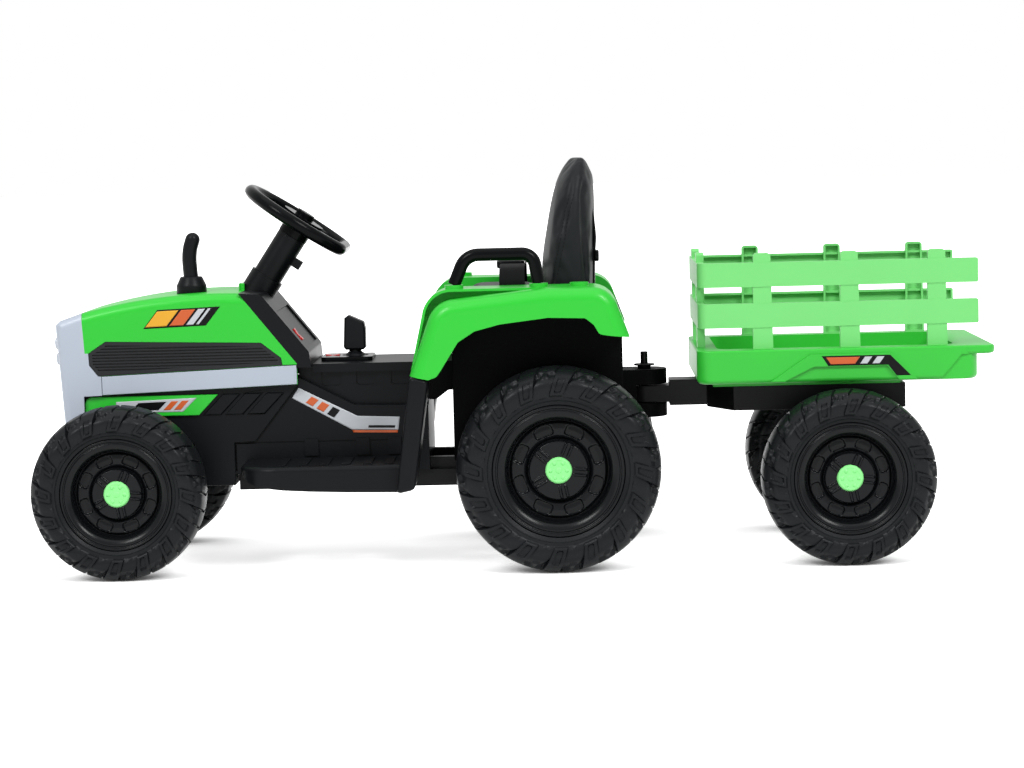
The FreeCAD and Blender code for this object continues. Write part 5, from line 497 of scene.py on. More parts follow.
def outside_out(points, side, centre):
    """Points at a centre; those of the right side are first turned half round the upright."""
    turned = points * ((1, 1, 1) if side == "left" else (-1, -1, 1))
    return turned + np.array(centre)


def on_wheels(kind, look, finish, slot, shape, crease=CREASE, close_rows=True):
    """One kind of piece for all six wheels; shape gives its grid from the wheel's radius and width."""
    for group in WHEELS:
        radius, width, centres = wheel_sizes(group)
        points = shape(radius, width)
        faces = grid_faces(*points.shape[:2], close_rows=close_rows, close_columns=True)
        for side, centre in centres.items():
            name = f"{group}_{kind}_{side}"
            piece = new_piece(f"{look}_{name}", outside_out(points, side, centre), faces, finish, crease)
            stand_in(piece, f"{group}_wheel_{side}", slot, name)


for group in WHEELS:
    print(group, "radius and width:", [round(size, 4) for size in wheel_sizes(group)[:2]])

# %% [markdown]
# ## Tyre wall
# The tyres are hollow blow-moulded rings, not rubber. Half of their cross-section runs from the bead on the
# rim over the bulging wall to the middle of the tread. A smooth line through a few points draws it, and the
# points are shares of the tyre's radius and width, so that all three sizes have the same wall.

# %% Tyre wall
BLOCK_HEIGHT = 0.005
RIM_SHARE = 0.645
BEAD_GAP = 0.0004
BEAD_SHARE = 0.400
WALL_SHARES = ((0.70, 0.452), (0.78, 0.482), (0.85, 0.480))
CROWN_SHARES = ((0.925, 0.440), (0.975, 0.340), (0.996, 0.180), (1.0, 0.0))
HALF_ROWS = 50


def tyre_wall(radius, width):
    """Half cross-section from bead to the middle of the tread: (distance from axle, distance from middle)."""
    carcass = radius - BLOCK_HEIGHT
    bead = (RIM_SHARE * radius + BEAD_GAP, BEAD_SHARE * width)
    keys = [bead, np.array(WALL_SHARES) * (radius, width), np.array(CROWN_SHARES) * (carcass, width)]
    return through(np.vstack(keys), HALF_ROWS)


print("points from bead to bead:", 2 * HALF_ROWS - 1)

# %% [markdown]
# ## Blocks on the tyre wall
# Every tread block reaches down the wall and has a sunken window there. A wedge, a stub, a small tick and a
# low pillow lie between two blocks, and a fine ring runs above the bead. All of these are heights over the
# wall, so they can simply be added up. Places round the tyre count in block steps, places on the wall are
# shares of the radius, and soft-edged ones are given as centre, half and softness.

# %% Blocks on the tyre wall
BLOCK_HALF = 0.215
BLOCK_SOFT = 0.006
BLOCK_FOOT_SHARES = (0.730, 0.748)
BLOCK_RISE_SHARES = (0.74, 0.90, 0.955)
BLOCK_RISES = (0.0027, 0.0034, BLOCK_HEIGHT)
WINDOW_DEPTH = 0.0030
WINDOW_SHARE = 0.832
WINDOW_HALF = (0.105, 0.058)
WINDOW_POWER = 8
WINDOW_EDGE = (0.7, 1.4)
WEDGE_DEPTH = 0.0030
WEDGE_LENGTH = 0.20
WEDGE_FOOT_SHARES = (0.85, 0.87)
WEDGE_SPAN_SHARE = 0.11
WEDGE_SOFT = 0.03
WEDGE_LAP = 0.001
STUB_HEIGHT = 0.0030
STUB_TURN = (0.50, 0.075, 0.012)
STUB_SHARES = (0.922, 0.022, 0.007)
TICK_HEIGHT = 0.0010
TICK_TURN = (0.52, 0.030, 0.012)
TICK_SHARES = (0.742, 0.020, 0.006)
PILLOW_HEIGHT = 0.0012
PILLOW_MIDDLE = 0.50
PILLOW_HALF = 0.28
PILLOW_SHARES = (0.835, 0.085, 0.035)
RING_HEIGHT = 0.0011
RING_SHARES = (0.697, 0.006)
DIP_DEPTH = 0.0008
DIP_SHARES = (0.718, 0.006)


def ridge(x, centre, half):
    """exp(-((x - centre) / half)^2)."""
    return np.exp(-((x - centre) / half) ** 2)


def flank_height(off, share):
    """Height on the wall = block - window + (stub + tick + pillow - wedge) between blocks + bead ring - dip.

    off is the way round from the middle of the nearest block, and share the distance from the axle."""
    block = plateau(off, 0, BLOCK_HALF, BLOCK_SOFT) * eased(share, *BLOCK_FOOT_SHARES)
    rise = np.interp(share, BLOCK_RISE_SHARES, BLOCK_RISES)
    from_window = ((share - WINDOW_SHARE) / WINDOW_HALF[1]) ** WINDOW_POWER
    window = 1 - eased((off / WINDOW_HALF[0]) ** WINDOW_POWER + from_window, *WINDOW_EDGE)
    onward = np.where(off < 0, off + 1, off)
    wedge_end = BLOCK_HALF + WEDGE_LENGTH * np.clip((share - WEDGE_FOOT_SHARES[0]) / WEDGE_SPAN_SHARE, 0, 1)
    wedge = eased(onward, BLOCK_HALF - BLOCK_SOFT, BLOCK_HALF + BLOCK_SOFT)
    wedge = wedge * (1 - eased(onward, wedge_end - WEDGE_SOFT, wedge_end + WEDGE_LAP))
    wedge = wedge * eased(share, *WEDGE_FOOT_SHARES)
    stub = plateau(onward, *STUB_TURN) * plateau(share, *STUB_SHARES)
    tick = plateau(onward, *TICK_TURN) * plateau(share, *TICK_SHARES)
    pillow = np.clip(1 - ((onward - PILLOW_MIDDLE) / PILLOW_HALF) ** 2, 0, 1) * plateau(share, *PILLOW_SHARES)
    on_block = rise * block - WINDOW_DEPTH * window * block
    between = STUB_HEIGHT * stub + TICK_HEIGHT * tick + PILLOW_HEIGHT * pillow - WEDGE_DEPTH * wedge
    bead = RING_HEIGHT * ridge(share, *RING_SHARES) - DIP_DEPTH * ridge(share, *DIP_SHARES)
    return on_block + between * (1 - block) + bead


print("height in the middle of a window:", round(float(flank_height(0.0, WINDOW_SHARE)), 5))

# %% [markdown]
# ## Tyres
# The tread is sixteen slanted blocks on each side, the far side half a step round from the near side. The ring
# is a grid: one parameter runs round the axle, the other runs from bead to bead across the tread. The heights
# are added along the wall's normal. The grid is sheared with the blocks' slant, so block edges follow grid
# lines and stay crisp.

# %% Tyres
BLOCKS = 16
BLOCK_TILT = math.radians(18)
BLOCK_SLANT = 0.075
TREAD_TURN = math.radians(4.5)
CROWN_EDGE_SHARES = (0.325, 0.375)
GROOVES = (0.25, 0.75)
GROOVE_EDGE = (0.030, 0.008)
GROOVE_SHARE = 0.6
COLUMN_STOPS = np.array((
    0.0, 0.05, 0.099, 0.111, 0.15, 0.18, 0.209, 0.221, 0.24, 0.26, 0.279, 0.291, 0.31, 0.33, 0.36, 0.389,
    0.401, 0.43, 0.465, 0.5, 0.535, 0.57, 0.599, 0.611, 0.65, 0.68, 0.709, 0.721, 0.74, 0.76, 0.779, 0.791,
    0.81, 0.83, 0.86, 0.889, 0.901, 0.95))


def tyre_points(radius, width):
    """Point = wall + normal x height, turned about the axle by the column angle plus the row's slant.

    Height = flank_height on the wall; over the crown of the tread, full block height less narrow grooves."""
    half = tyre_wall(radius, width)
    wall = np.vstack([half * (1, -1), half[-2::-1]])
    along = np.gradient(wall, axis=0)
    along /= np.linalg.norm(along, axis=1)[:, None]
    normal = np.stack([along[:, 1], -along[:, 0]], axis=1)
    reach, side = wall[:, :1], wall[:, 1:]
    u = np.tile(COLUMN_STOPS, BLOCKS)[None, :]
    step = 2 * math.pi / BLOCKS
    turn = (np.repeat(np.arange(BLOCKS), len(COLUMN_STOPS)) + u - 0.5) * step + TREAD_TURN
    off = np.where(side < 0, u - 0.5, u - np.round(u))
    grooves = [plateau(u, middle, *GROOVE_EDGE) for middle in GROOVES]
    tread = BLOCK_HEIGHT * (1 - GROOVE_SHARE * np.maximum(*grooves))
    crown = 1 - eased(np.abs(side), CROWN_EDGE_SHARES[0] * width, CROWN_EDGE_SHARES[1] * width)
    height = flank_height(off, reach / radius) * (1 - crown) + tread * crown
    lean = (radius - BLOCK_HEIGHT - reach) * math.tan(BLOCK_TILT) / reach
    slant = BLOCK_SLANT * (1 - np.abs(side) / (width / 2)) - lean
    return about_axle(reach + normal[:, :1] * height, side + normal[:, 1:] * height, turn + slant)


on_wheels("tyre", "soft", "tyre_black", "tyre_black", tyre_points, crease=48)

# %% [markdown]
# ## Rim profile
# The rim is a gloss black dish: two thin steps at the edge, a deep bowl, a raised ring and a flat hub round a
# small cavity. Its profile runs from the edge in to the hub and back along the rear. Its points are shares of
# the rim's edge and of the tyre's width, and each corner is rounded, as on any moulding.

# %% Rim profile
RIM_CORNER = 0.0011
RIM_STEP = 0.0016
RIM_WALL = 0.004
CORNER_SHARE = 0.45
CORNER_STEPS = (0.0, 0.33, 0.67, 1.0)
BORE = 0.00605
HUB_CAVITY = 0.013
HUB_TUBE = 0.015
CAVITY_DEPTH = 0.015
TUBE_END_SHARE = 0.42
HUB_FOOT_SHARE = 0.40
BARREL_SHARES = (-0.30, 0.40)
FACE_SHARES = ((1.0, -0.385), (0.985, -0.405), (0.955, -0.405), (0.94, -0.385), (0.925, -0.385),
               (0.91, -0.400), (0.885, -0.400), (0.862, -0.392), (0.84, -0.382), (0.815, -0.366),
               (0.797, -0.345), (0.782, -0.305), (0.770, -0.240), (0.760, -0.165), (0.746, -0.148),
               (0.732, -0.168), (0.705, -0.196), (0.62, -0.205), (0.535, -0.196), (0.495, -0.178),
               (0.470, -0.150), (0.455, -0.145), (0.448, -0.250), (0.432, -0.275), (0.41, -0.275))
BACK_SHARES = ((0.42, -0.11), (0.62, -0.11), (0.755, -0.09), (0.80, -0.12), (0.845, -0.27), (0.93, -0.29))


def rounded_line(points, cut):
    """Each inner corner of a line gives way to a short parabola that starts and ends cut away from it."""
    points = np.asarray(points, dtype=float)
    before, corner, after = points[:-2], points[1:-1], points[2:]
    back = before - corner
    onward = after - corner
    back_length = np.linalg.norm(back, axis=1, keepdims=True)
    onward_length = np.linalg.norm(onward, axis=1, keepdims=True)
    first = corner + back * np.minimum(cut / back_length, CORNER_SHARE)
    last = corner + onward * np.minimum(cut / onward_length, CORNER_SHARE)
    t = np.array(CORNER_STEPS)[None, :, None]
    arcs = first[:, None] * (1 - t) ** 2 + corner[:, None] * 2 * t * (1 - t) + last[:, None] * t**2
    return np.vstack([points[:1], arcs.reshape(-1, 2), points[-1:]])


def finely(line, step):
    """Points are added on each stretch of a line so that no stretch is longer than step."""
    pieces = [np.linspace(a, b, max(1, math.ceil(np.linalg.norm(b - a) / step)), endpoint=False)
              for a, b in zip(line[:-1], line[1:])]
    return np.vstack(pieces + [line[-1:]])


def rim_profile(edge, width):
    """The face from edge to hub and the back from hub to edge, as lines with round corners."""
    scale = np.array((edge, width))
    hub_y = FACE_SHARES[-1][1] * width
    floor_y = hub_y + CAVITY_DEPTH
    tube_y = TUBE_END_SHARE * width
    barrel_x = edge - RIM_WALL
    front_y, rear_y = np.array(BARREL_SHARES) * width
    face = np.vstack([np.array(FACE_SHARES) * scale, (HUB_CAVITY, hub_y)])
    inside = [(HUB_CAVITY, floor_y), (BORE, floor_y), (BORE, tube_y), (HUB_TUBE, tube_y), (HUB_TUBE, floor_y),
              (HUB_FOOT_SHARE * edge, floor_y)]
    barrel = [(barrel_x, front_y), (barrel_x, rear_y), (edge, rear_y)]
    back = np.vstack([inside, np.array(BACK_SHARES) * scale, barrel])
    return finely(rounded_line(face, RIM_CORNER), RIM_STEP), rounded_line(back, RIM_CORNER)


print("corners of a rim's face and back:", len(FACE_SHARES), len(BACK_SHARES))

# %% [markdown]
# ## Wheel rims
# The raised ring has eight sunken pockets, and the hub has five pairs of ribs. The profile is turned round the
# axle, and pockets and ribs are added to its depth as a second function of radius and angle. Cutting them out
# of a solid would work too, but would break up the clean grid.

# %% Wheel rims
RIM_COLUMNS = 240
RIM_TURN = math.radians(24)
POCKETS = 8
POCKET_DEPTH = 0.0038
POCKET_SHARE = 0.62
POCKET_HALF_SHARES = (0.142, 0.085)
POCKET_POWER = 4
POCKET_EDGE = (0.7, 1.35)
RIBS = 5
RIB_HEIGHT = 0.0024
RIB_ACROSS = (0.0042, 0.0016, 0.0007)
RIB_SHARE = 0.330
RIB_HALF_SHARE = 0.092
RIB_END_SOFT = 0.0012


def from_middle(angle, count):
    """Angle from the middle of the nearest of count equal sectors."""
    step = 2 * math.pi / count
    return (((angle - RIM_TURN) / step + 0.5) % 1.0 - 0.5) * step


def rim_points(radius, width):
    """Closed profile (distance from axle, place along axle) turned about the axle, with pockets and ribs."""
    edge = RIM_SHARE * radius
    face, back = rim_profile(edge, width)
    profile = np.vstack([face, back])
    on_face = (np.arange(len(profile)) < len(face))[:, None]
    angle = np.linspace(0, 2 * math.pi, RIM_COLUMNS, endpoint=False)[None, :]
    reach, place = profile[:, :1], profile[:, 1:]
    arc = from_middle(angle, POCKETS) * reach
    along_ring = (arc / (POCKET_HALF_SHARES[0] * edge)) ** POCKET_POWER
    across_ring = ((reach - POCKET_SHARE * edge) / (POCKET_HALF_SHARES[1] * edge)) ** POCKET_POWER
    pocket = 1 - eased(along_ring + across_ring, *POCKET_EDGE)
    rib = plateau(np.abs(reach * np.sin(from_middle(angle, RIBS))), *RIB_ACROSS)
    rib = rib * plateau(reach, RIB_SHARE * edge, RIB_HALF_SHARE * edge, RIB_END_SOFT)
    return about_axle(reach, place + on_face * (POCKET_DEPTH * pocket - RIB_HEIGHT * rib), angle)


on_wheels("rim", "dished", "rim_black", "gloss_black", rim_points, crease=50)

# %% [markdown]
# ## Hub caps
# A pale green cap closes each hub: a low dome with a rolled edge, a shallow dish in its face, six small round
# studs and a low boss in the middle. It is a polar grid whose height depends on radius and angle, with a plug
# under it. All caps have one size; only their place along the axle follows the wheel's width.

# %% Hub caps
CAP_RADIUS = 0.0185
CAP_RISE = 0.004
CAP_PLUG = 0.005
CAP_CLEARANCE = 0.0003
CAP_COLUMNS = 120
CAP_FLAT_SHARE = 0.80
CAP_ROLL_SHARE = 0.20
ROLL_ROWS = 7
FACE_START_SHARE = 0.76
FACE_ROWS = 26
DISH_DEPTH = 0.0007
DISH_EDGE_SHARES = (0.70, 0.80)
STUDS = 6
STUD_RING_SHARE = 0.62
STUD_RADIUS = 0.0027
STUD_HEIGHT = 0.0016
BOSS_SHARE = 0.24
BOSS_HEIGHT = 0.0010


def dome(x):
    """Height of a unit ball over its middle plane: sqrt(1 - x^2), and 0 outside it."""
    return np.sqrt(np.clip(1 - x**2, 0, 1))


def cap_points(_, width):
    """Height over the hub = rolled edge - dish + studs + boss, on rings from the plug to the middle."""
    hub_y = FACE_SHARES[-1][1] * width
    rolled = np.linspace(1.0, CAP_FLAT_SHARE, ROLL_ROWS)
    rings = np.r_[rolled, np.linspace(FACE_START_SHARE, 0.0, FACE_ROWS)]
    angle = np.linspace(0, 2 * math.pi, CAP_COLUMNS, endpoint=False)
    r, a = np.meshgrid(rings, angle, indexing="ij")
    roll = dome(((r - CAP_FLAT_SHARE) / CAP_ROLL_SHARE).clip(0))
    dish = DISH_DEPTH * (1 - eased(r, *DISH_EDGE_SHARES))
    stud_step = 2 * math.pi / STUDS
    around = ((a / stud_step) % 1.0 - 0.5) * stud_step
    off = np.hypot(around * r, r - STUD_RING_SHARE) * CAP_RADIUS
    bumps = STUD_HEIGHT * dome(off / STUD_RADIUS) + BOSS_HEIGHT * dome(r / BOSS_SHARE)
    height = CAP_RISE * roll - dish + bumps
    plug_radius = HUB_CAVITY - CAP_CLEARANCE
    plug_y = hub_y + CAP_PLUG
    skirt = np.array(((0.0, plug_y), (plug_radius, plug_y), (plug_radius, hub_y), (CAP_RADIUS, hub_y)))
    under = about_axle(skirt[:, :1], skirt[:, 1:], angle[None, :])
    return np.concatenate([under, about_axle(CAP_RADIUS * r, hub_y - height, a)])


on_wheels("hub_cap", "studded", "mint_plastic", "mint_plastic", cap_points, close_rows=False)

# %% [markdown]
# ## Exhaust stack
# The stack on the bonnet is a dummy: a collar that tapers to a neck, and a bent pipe with a round closed end.
# Both are circles carried along a path. The collar's path is upright, and its circles follow a rounded
# profile. The pipe's path leans forward, then bends back, and its last circles shrink to a point as on a half
# ball. Heights count from the crown of the bonnet.

# %% Exhaust stack
COLLAR_RADIUS = 0.0215
COLLAR_TOP = ((COLLAR_RADIUS, 0.0130), (0.0155, 0.0260), (0.0, 0.0260))
COLLAR_CORNER = 0.0016
PIPE_RADIUS = 0.0105
PIPE_RUN = ((0.0, 0.020), (-0.0012, 0.036), (-0.0018, 0.052), (-0.0002, 0.066), (0.0036, 0.0785))
PIPE_ROWS = 40
TIP_ROWS = 12
STACK_HEIGHT = 0.0847
STACK_COLUMNS = 64


def circles(path, along, radii):
    """Circle at each path point = point + radius x (cos a x across + sin a x Y), square to the path."""
    angle = np.linspace(0, 2 * math.pi, STACK_COLUMNS, endpoint=False)[None, :, None]
    across = np.stack([along[:, 1], 0 * along[:, 0], -along[:, 0]], axis=1)[:, None]
    centres = np.stack([path[:, 0], 0 * path[:, 0], path[:, 1]], axis=1)[:, None]
    ring = np.cos(angle) * across + np.sin(angle) * np.array((0.0, 1.0, 0.0))
    return centres + np.asarray(radii)[:, None, None] * ring


def stack_grids(foot):
    """Collar and pipe around the upright through the collar; foot is the height of the collar's underside."""
    collar = rounded_line(((0.0, foot), (COLLAR_RADIUS, foot), *COLLAR_TOP), COLLAR_CORNER)
    collar_path = np.column_stack([np.zeros(len(collar)), collar[:, 1]])
    upright = np.tile((0.0, 1.0), (len(collar), 1))
    run = through(PIPE_RUN, PIPE_ROWS)
    along = np.gradient(run, axis=0)
    along /= np.linalg.norm(along, axis=1)[:, None]
    t = np.linspace(0, math.pi / 2, TIP_ROWS)[1:]
    tip = run[-1] + along[-1] * (PIPE_RADIUS * np.sin(t))[:, None]
    pipe_path = np.vstack([run[:1], run, tip])
    pipe_along = np.vstack([along[:1], along, np.tile(along[-1], (len(t), 1))])
    radii = np.r_[0.0, np.full(len(run), PIPE_RADIUS), PIPE_RADIUS * np.cos(t)]
    return [circles(collar_path, upright, collar[:, 0]), circles(pipe_path, pipe_along, radii)]


stack_low, stack_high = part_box("exhaust_stack")
crown = stack_high.z - STACK_HEIGHT
stack_place = np.array((stack_low.x + COLLAR_RADIUS, (stack_low.y + stack_high.y) / 2, crown))
stack_points, stack_faces = joined(stack_grids(stack_low.z - crown), close_columns=True)
stack = new_piece("bent_exhaust_stack", stack_points + stack_place, stack_faces, "black_plastic")
print("collar foot below the crown:", round(crown - stack_low.z, 4))
stand_in(stack, "tractor", "black_plastic", "exhaust_stack")

# %% [markdown]
# ## Points of a mesh
# The seat pads are shaped in several passes, some by modifiers and some by arithmetic. So a mesh's points have
# to be read and written as arrays, and what the modifiers show has to become the mesh between two passes.

# %% Points of a mesh


def rows_of(items, key):
    """Three numbers from each item, one row each."""
    flat = np.empty(3 * len(items), dtype=np.float32)
    items.foreach_get(key, flat)
    return flat.reshape(-1, 3).astype(float)


def places(mesh):
    """The points of a mesh."""
    return rows_of(mesh.vertices, "co")


def normals_of(mesh):
    """The directions in which the surface faces at its points."""
    return rows_of(mesh.vertex_normals, "vector")


def put(mesh, points):
    """Give a mesh new places for its points."""
    mesh.vertices.foreach_set("co", points.astype(np.float32).ravel())
    mesh.update()


def worked_in(piece):
    """A new mesh of the piece as its modifiers show it now."""
    return bpy.data.meshes.new_from_object(piece.evaluated_get(bpy.context.evaluated_depsgraph_get()))


def settle(piece):
    """Replace the piece's mesh with what its modifiers show, and drop the modifiers."""
    shown = worked_in(piece)
    piece.modifiers.clear()
    piece.data = shown


print("points of the rigid backrest:", len(places(nodes["backrest"].data)))

# %% [markdown]
# ## Padded seat
# A pad is cloth filled from inside. The recipe: copy the solid, cover it with even cells (a voxel remesh),
# draw it in a little, then let Cloth swell it with an inner pressure and no gravity. A cap on the movement
# keeps the pad in its place, and its foot stays flat on the deck. One subdivision smooths the cells, and the
# backrest is stretched back to its solid's height.

# %% Padded seat
PAD_CELL = 0.0045
PAD_FRAMES = 20
PAD_QUALITY = 6
PAD_PRESSURE = 4.0
PAD_DRAWN_IN = 0.0010
PAD_CAP = 0.0050
EVEN_SHARE = 0.5
EVEN_ROUNDS = 4
TINY = 1e-9


def swollen(pad):
    """Where the pad's points come to rest under inner pressure, after a few frames of cloth."""
    cloth = pad.modifiers.new("swell", "CLOTH")
    cloth.settings.quality = PAD_QUALITY
    cloth.settings.use_pressure = True
    cloth.settings.uniform_pressure_force = PAD_PRESSURE
    cloth.settings.effector_weights.gravity = 0.0
    for step in range(1, PAD_FRAMES + 1):
        scene.frame_set(step)
    points = places(worked_in(pad))
    pad.modifiers.clear()
    scene.frame_set(1)
    return points


def puffed(name, node):
    """Solid -> even cells -> drawn in -> swollen, no further than the cap -> subdivided once."""
    pad = bpy.data.objects.new(name, worked_in(nodes[node]))
    scene.collection.objects.link(pad)
    cells = pad.modifiers.new("cells", "REMESH")
    cells.mode = "VOXEL"
    cells.voxel_size = PAD_CELL
    settle(pad)
    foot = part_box(node)[0].z
    start = places(pad.data) - PAD_DRAWN_IN * normals_of(pad.data)
    start[:, 2] = np.maximum(start[:, 2], foot)
    put(pad.data, start)
    move = swollen(pad) - start
    length = np.linalg.norm(move, axis=1, keepdims=True)
    start = start + move * np.minimum(1, PAD_CAP / np.maximum(length, TINY))
    start[:, 2] = np.maximum(start[:, 2], foot)
    put(pad.data, start)
    even = pad.modifiers.new("even", "SMOOTH")
    even.factor = EVEN_SHARE
    even.iterations = EVEN_ROUNDS
    smooth = pad.modifiers.new("smooth", "SUBSURF")
    smooth.levels = 1
    smooth.render_levels = 1
    settle(pad)
    pad.data.shade_smooth()
    pad.data.materials.clear()
    pad.data.materials.append(FINISHES["seat_cover"])
    return pad


def tall_as(pad, node):
    """Heights are stretched from the pad's foot until its top is level with the top of the solid."""
    low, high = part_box(node)
    points = places(pad.data)
    points[:, 2] = low.z + (points[:, 2] - low.z) * (high.z - low.z) / (points[:, 2].max() - low.z)
    put(pad.data, points)


back_pad = puffed("padded_backrest", "backrest")
tall_as(back_pad, "backrest")
seat_pad = puffed("padded_cushion", "seat_cushion")
for pad, node in ((back_pad, "backrest"), (seat_pad, "seat_cushion")):
    stand_in(pad, "tractor", "seat_cover", node)

# %% [markdown]
# ## Sewn seams
# Seams come after the padding, because the remesh would have wiped them out. Each seam of the backrest is a
# line across its side view, and the cushion's seam is level. Points near the line sink along their normals,
# as the thread pulls the cover in.

# %% Sewn seams
COVER_SEAM = ((0.345, 0.054), (0.394, 0.0603), (0.459, 0.0754), (0.4965, 0.0821), (0.5106, 0.0871),
              (0.580, 0.098))
SHELL_SEAM = ((0.345, 0.1145), (0.401, 0.1098), (0.4576, 0.1039), (0.5195, 0.1039), (0.5450, 0.1080),
              (0.560, 0.1160), (0.580, 0.1300))
CUSHION_SEAM_RISE = 0.021
DEEP_SEAM = (0.0032, 0.0030)
FINE_SEAM = (0.0020, 0.0012)
SEAM_FADE = (0.520, 0.550)
SEAM_UPRIGHT = (0.45, 0.70)
# Half breadth of the backrest's front and back, which no seam crosses: (height, y) stops.
PLAIN_HALF = ((0.46, 0.090), (0.57, 0.0495))


def sewn(pad, off, half_width, depth):
    """Points near a seam sink by depth x exp(-(off / half_width)^2), on upright faces below SEAM_FADE."""
    points = places(pad.data)
    facing = normals_of(pad.data)
    sink = depth * np.exp(-(off(points) / half_width) ** 2) * (1 - eased(points[:, 2], *SEAM_FADE))
    sink = sink * (1 - eased(np.abs(facing[:, 2]), *SEAM_UPRIGHT))
    sunk = points - sink[:, None] * facing
    sunk[:, 2] = np.maximum(sunk[:, 2], points[:, 2].min())
    put(pad.data, sunk)
    print(pad.name, "deepest point of a seam:", round(sink.max(), 4))


def off_line(line):
    """Distance along X from a line of (height, x) stops; infinite on the pad's front and back."""
    height, place = np.array(line).T
    level, half = np.array(PLAIN_HALF).T

    def off(points):
        plain = np.abs(points[:, 1]) < np.interp(points[:, 2], level, half)
        return np.where(plain, np.inf, points[:, 0] - np.interp(points[:, 2], height, place))

    return off


sewn(back_pad, off_line(SHELL_SEAM), *DEEP_SEAM)
sewn(back_pad, off_line(COVER_SEAM), *FINE_SEAM)
seam_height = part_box("seat_cushion")[0].z + CUSHION_SEAM_RISE
sewn(seat_pad, lambda points: points[:, 2] - seam_height, *FINE_SEAM)

# %% [markdown]
# ## Stitches
# The cover seam has a row of thread on each side. A stitch is a tiny long ball. A ray from the side finds
# its place: the seam gives X and height, the ray gives Y and the surface's direction.

# %% Stitches
STITCH_PITCH = 0.0055
STITCH_HALF = (0.0019, 0.0005)
STITCH_OFFSET = 0.0030
STITCH_HEIGHTS = (0.408, 0.520)
STITCH_GRID = (7, 6)
RAY_START = 0.5


def ball(rows, columns):
    """Points of a unit ball on rings of latitude, with the poles at +/-1 on the first axis."""
    latitude = np.linspace(0, math.pi, rows)[:, None]
    longitude = np.linspace(0, 2 * math.pi, columns, endpoint=False)[None, :]
    return np.stack([np.cos(latitude) + 0 * longitude, np.sin(latitude) * np.cos(longitude),
                     np.sin(latitude) * np.sin(longitude)], axis=-1)


def surface_of(piece):
    """A tree of the piece's faces that answers rays."""
    return BVHTree.FromObject(piece, bpy.context.evaluated_depsgraph_get())


def from_side(tree, x, z, side):
    """Place and outward direction where a ray along Y first meets the piece; side is -1 or +1."""
    hit = tree.ray_cast(Vector((x, RAY_START * side, z)), Vector((0, -side, 0)))
    return np.array(hit[0]), np.array(hit[1])


def stitch_row(tree, line, offset, side):
    """Stitches one pitch apart along a seam, each laid along the seam on the pad's surface."""
    height, place = np.array(line).T
    unit = ball(*STITCH_GRID)
    rows = []
    for z in np.arange(*STITCH_HEIGHTS, STITCH_PITCH):
        ahead_z = z + STITCH_PITCH
        spot, outward = from_side(tree, np.interp(z, height, place) + offset, z, side)
        ahead, _ = from_side(tree, np.interp(ahead_z, height, place) + offset, ahead_z, side)
        along = (ahead - spot) / np.linalg.norm(ahead - spot)
        across = np.cross(outward, along)
        axes = np.stack([along * STITCH_HALF[0], across * STITCH_HALF[1], outward * STITCH_HALF[1]])
        rows.append(spot + unit @ axes)
    return rows


pad_tree = surface_of(back_pad)
threads = []
for side in (-1, 1):
    for offset in (-STITCH_OFFSET, STITCH_OFFSET):
        threads += stitch_row(pad_tree, COVER_SEAM, offset, side)
stitches = new_piece("backrest_stitches", *joined(threads, close_columns=True), "webbing")
stand_in(stitches, "tractor", "webbing")

# %% [markdown]
# ## Lap belt
# Webbing is too thin to remesh, so it is modelled directly: a flat section with round edges moved along a
# smooth path. The belt rises beside the cushion, bends over and lies across the seat to its buckle. A second
# strap hangs down the back of the seat through a small adjuster.

# %% Lap belt
BELT_WIDTH = 0.036
BELT_THICKNESS = 0.0022
BELT_X = 0.0025
BELT_RUN = ((-0.1168, 0.3525), (-0.1170, 0.385), (-0.1130, 0.404), (-0.1000, 0.4155), (-0.0750, 0.4195),
            (-0.0300, 0.4200), (0, 0.4195))
BELT_ROWS = 110
TAIL_WIDTH = 0.025
TAIL_THICKNESS = 0.0046
TAIL_Y = -0.045
TAIL_RUN = ((0.1150, 0.512), (0.1162, 0.497), (0.1190, 0.478), (0.1205, 0.4585), (0.1198, 0.446),
            (0.1190, 0.436), (0.1180, 0.424), (0.1172, 0.405), (0.1170, 0.380), (0.1170, 0.3555))
TAIL_ROWS = 70
STRAP_COLUMNS = 20


def strap(path, across, width, thickness):
    """Rings of a flat round-edged section along a path; the first and last ring shrink to a point."""
    across = np.array(across, dtype=float)
    along = np.gradient(path, axis=0)
    upward = np.cross(along, across)
    upward /= np.linalg.norm(upward, axis=1)[:, None]
    angle = (np.arange(STRAP_COLUMNS) + 0.5) * (2 * math.pi / STRAP_COLUMNS)
    wide = (width - thickness) / 2 * np.sign(np.cos(angle)) + thickness / 2 * np.cos(angle)
    high = thickness / 2 * np.sin(angle)
    rings = path[:, None] + wide[None, :, None] * across + high[None, :, None] * upward[:, None]
    ends = np.repeat(path[[0, -1], None], STRAP_COLUMNS, axis=1)
    return np.concatenate([ends[:1], rings, ends[1:]])


def mirrored(run):
    """A half run of (y, z) stops, then the same stops back on the other side."""
    half = np.array(run)
    return np.vstack([half, half[-2::-1] * (-1, 1)])


belt_line = through(mirrored(BELT_RUN), BELT_ROWS)
belt_path = np.column_stack([np.full(len(belt_line), BELT_X), belt_line])
tail_line = through(TAIL_RUN, TAIL_ROWS)
tail_path = np.column_stack([tail_line[:, 0], np.full(len(tail_line), TAIL_Y), tail_line[:, 1]])
belt_grids = [strap(belt_path, (1, 0, 0), BELT_WIDTH, BELT_THICKNESS),
              strap(tail_path, (0, 1, 0), TAIL_WIDTH, TAIL_THICKNESS)]
belt = new_piece("woven_lap_belt", *joined(belt_grids, close_columns=True), "webbing")
stand_in(belt, "tractor", "webbing", "lap_belt")

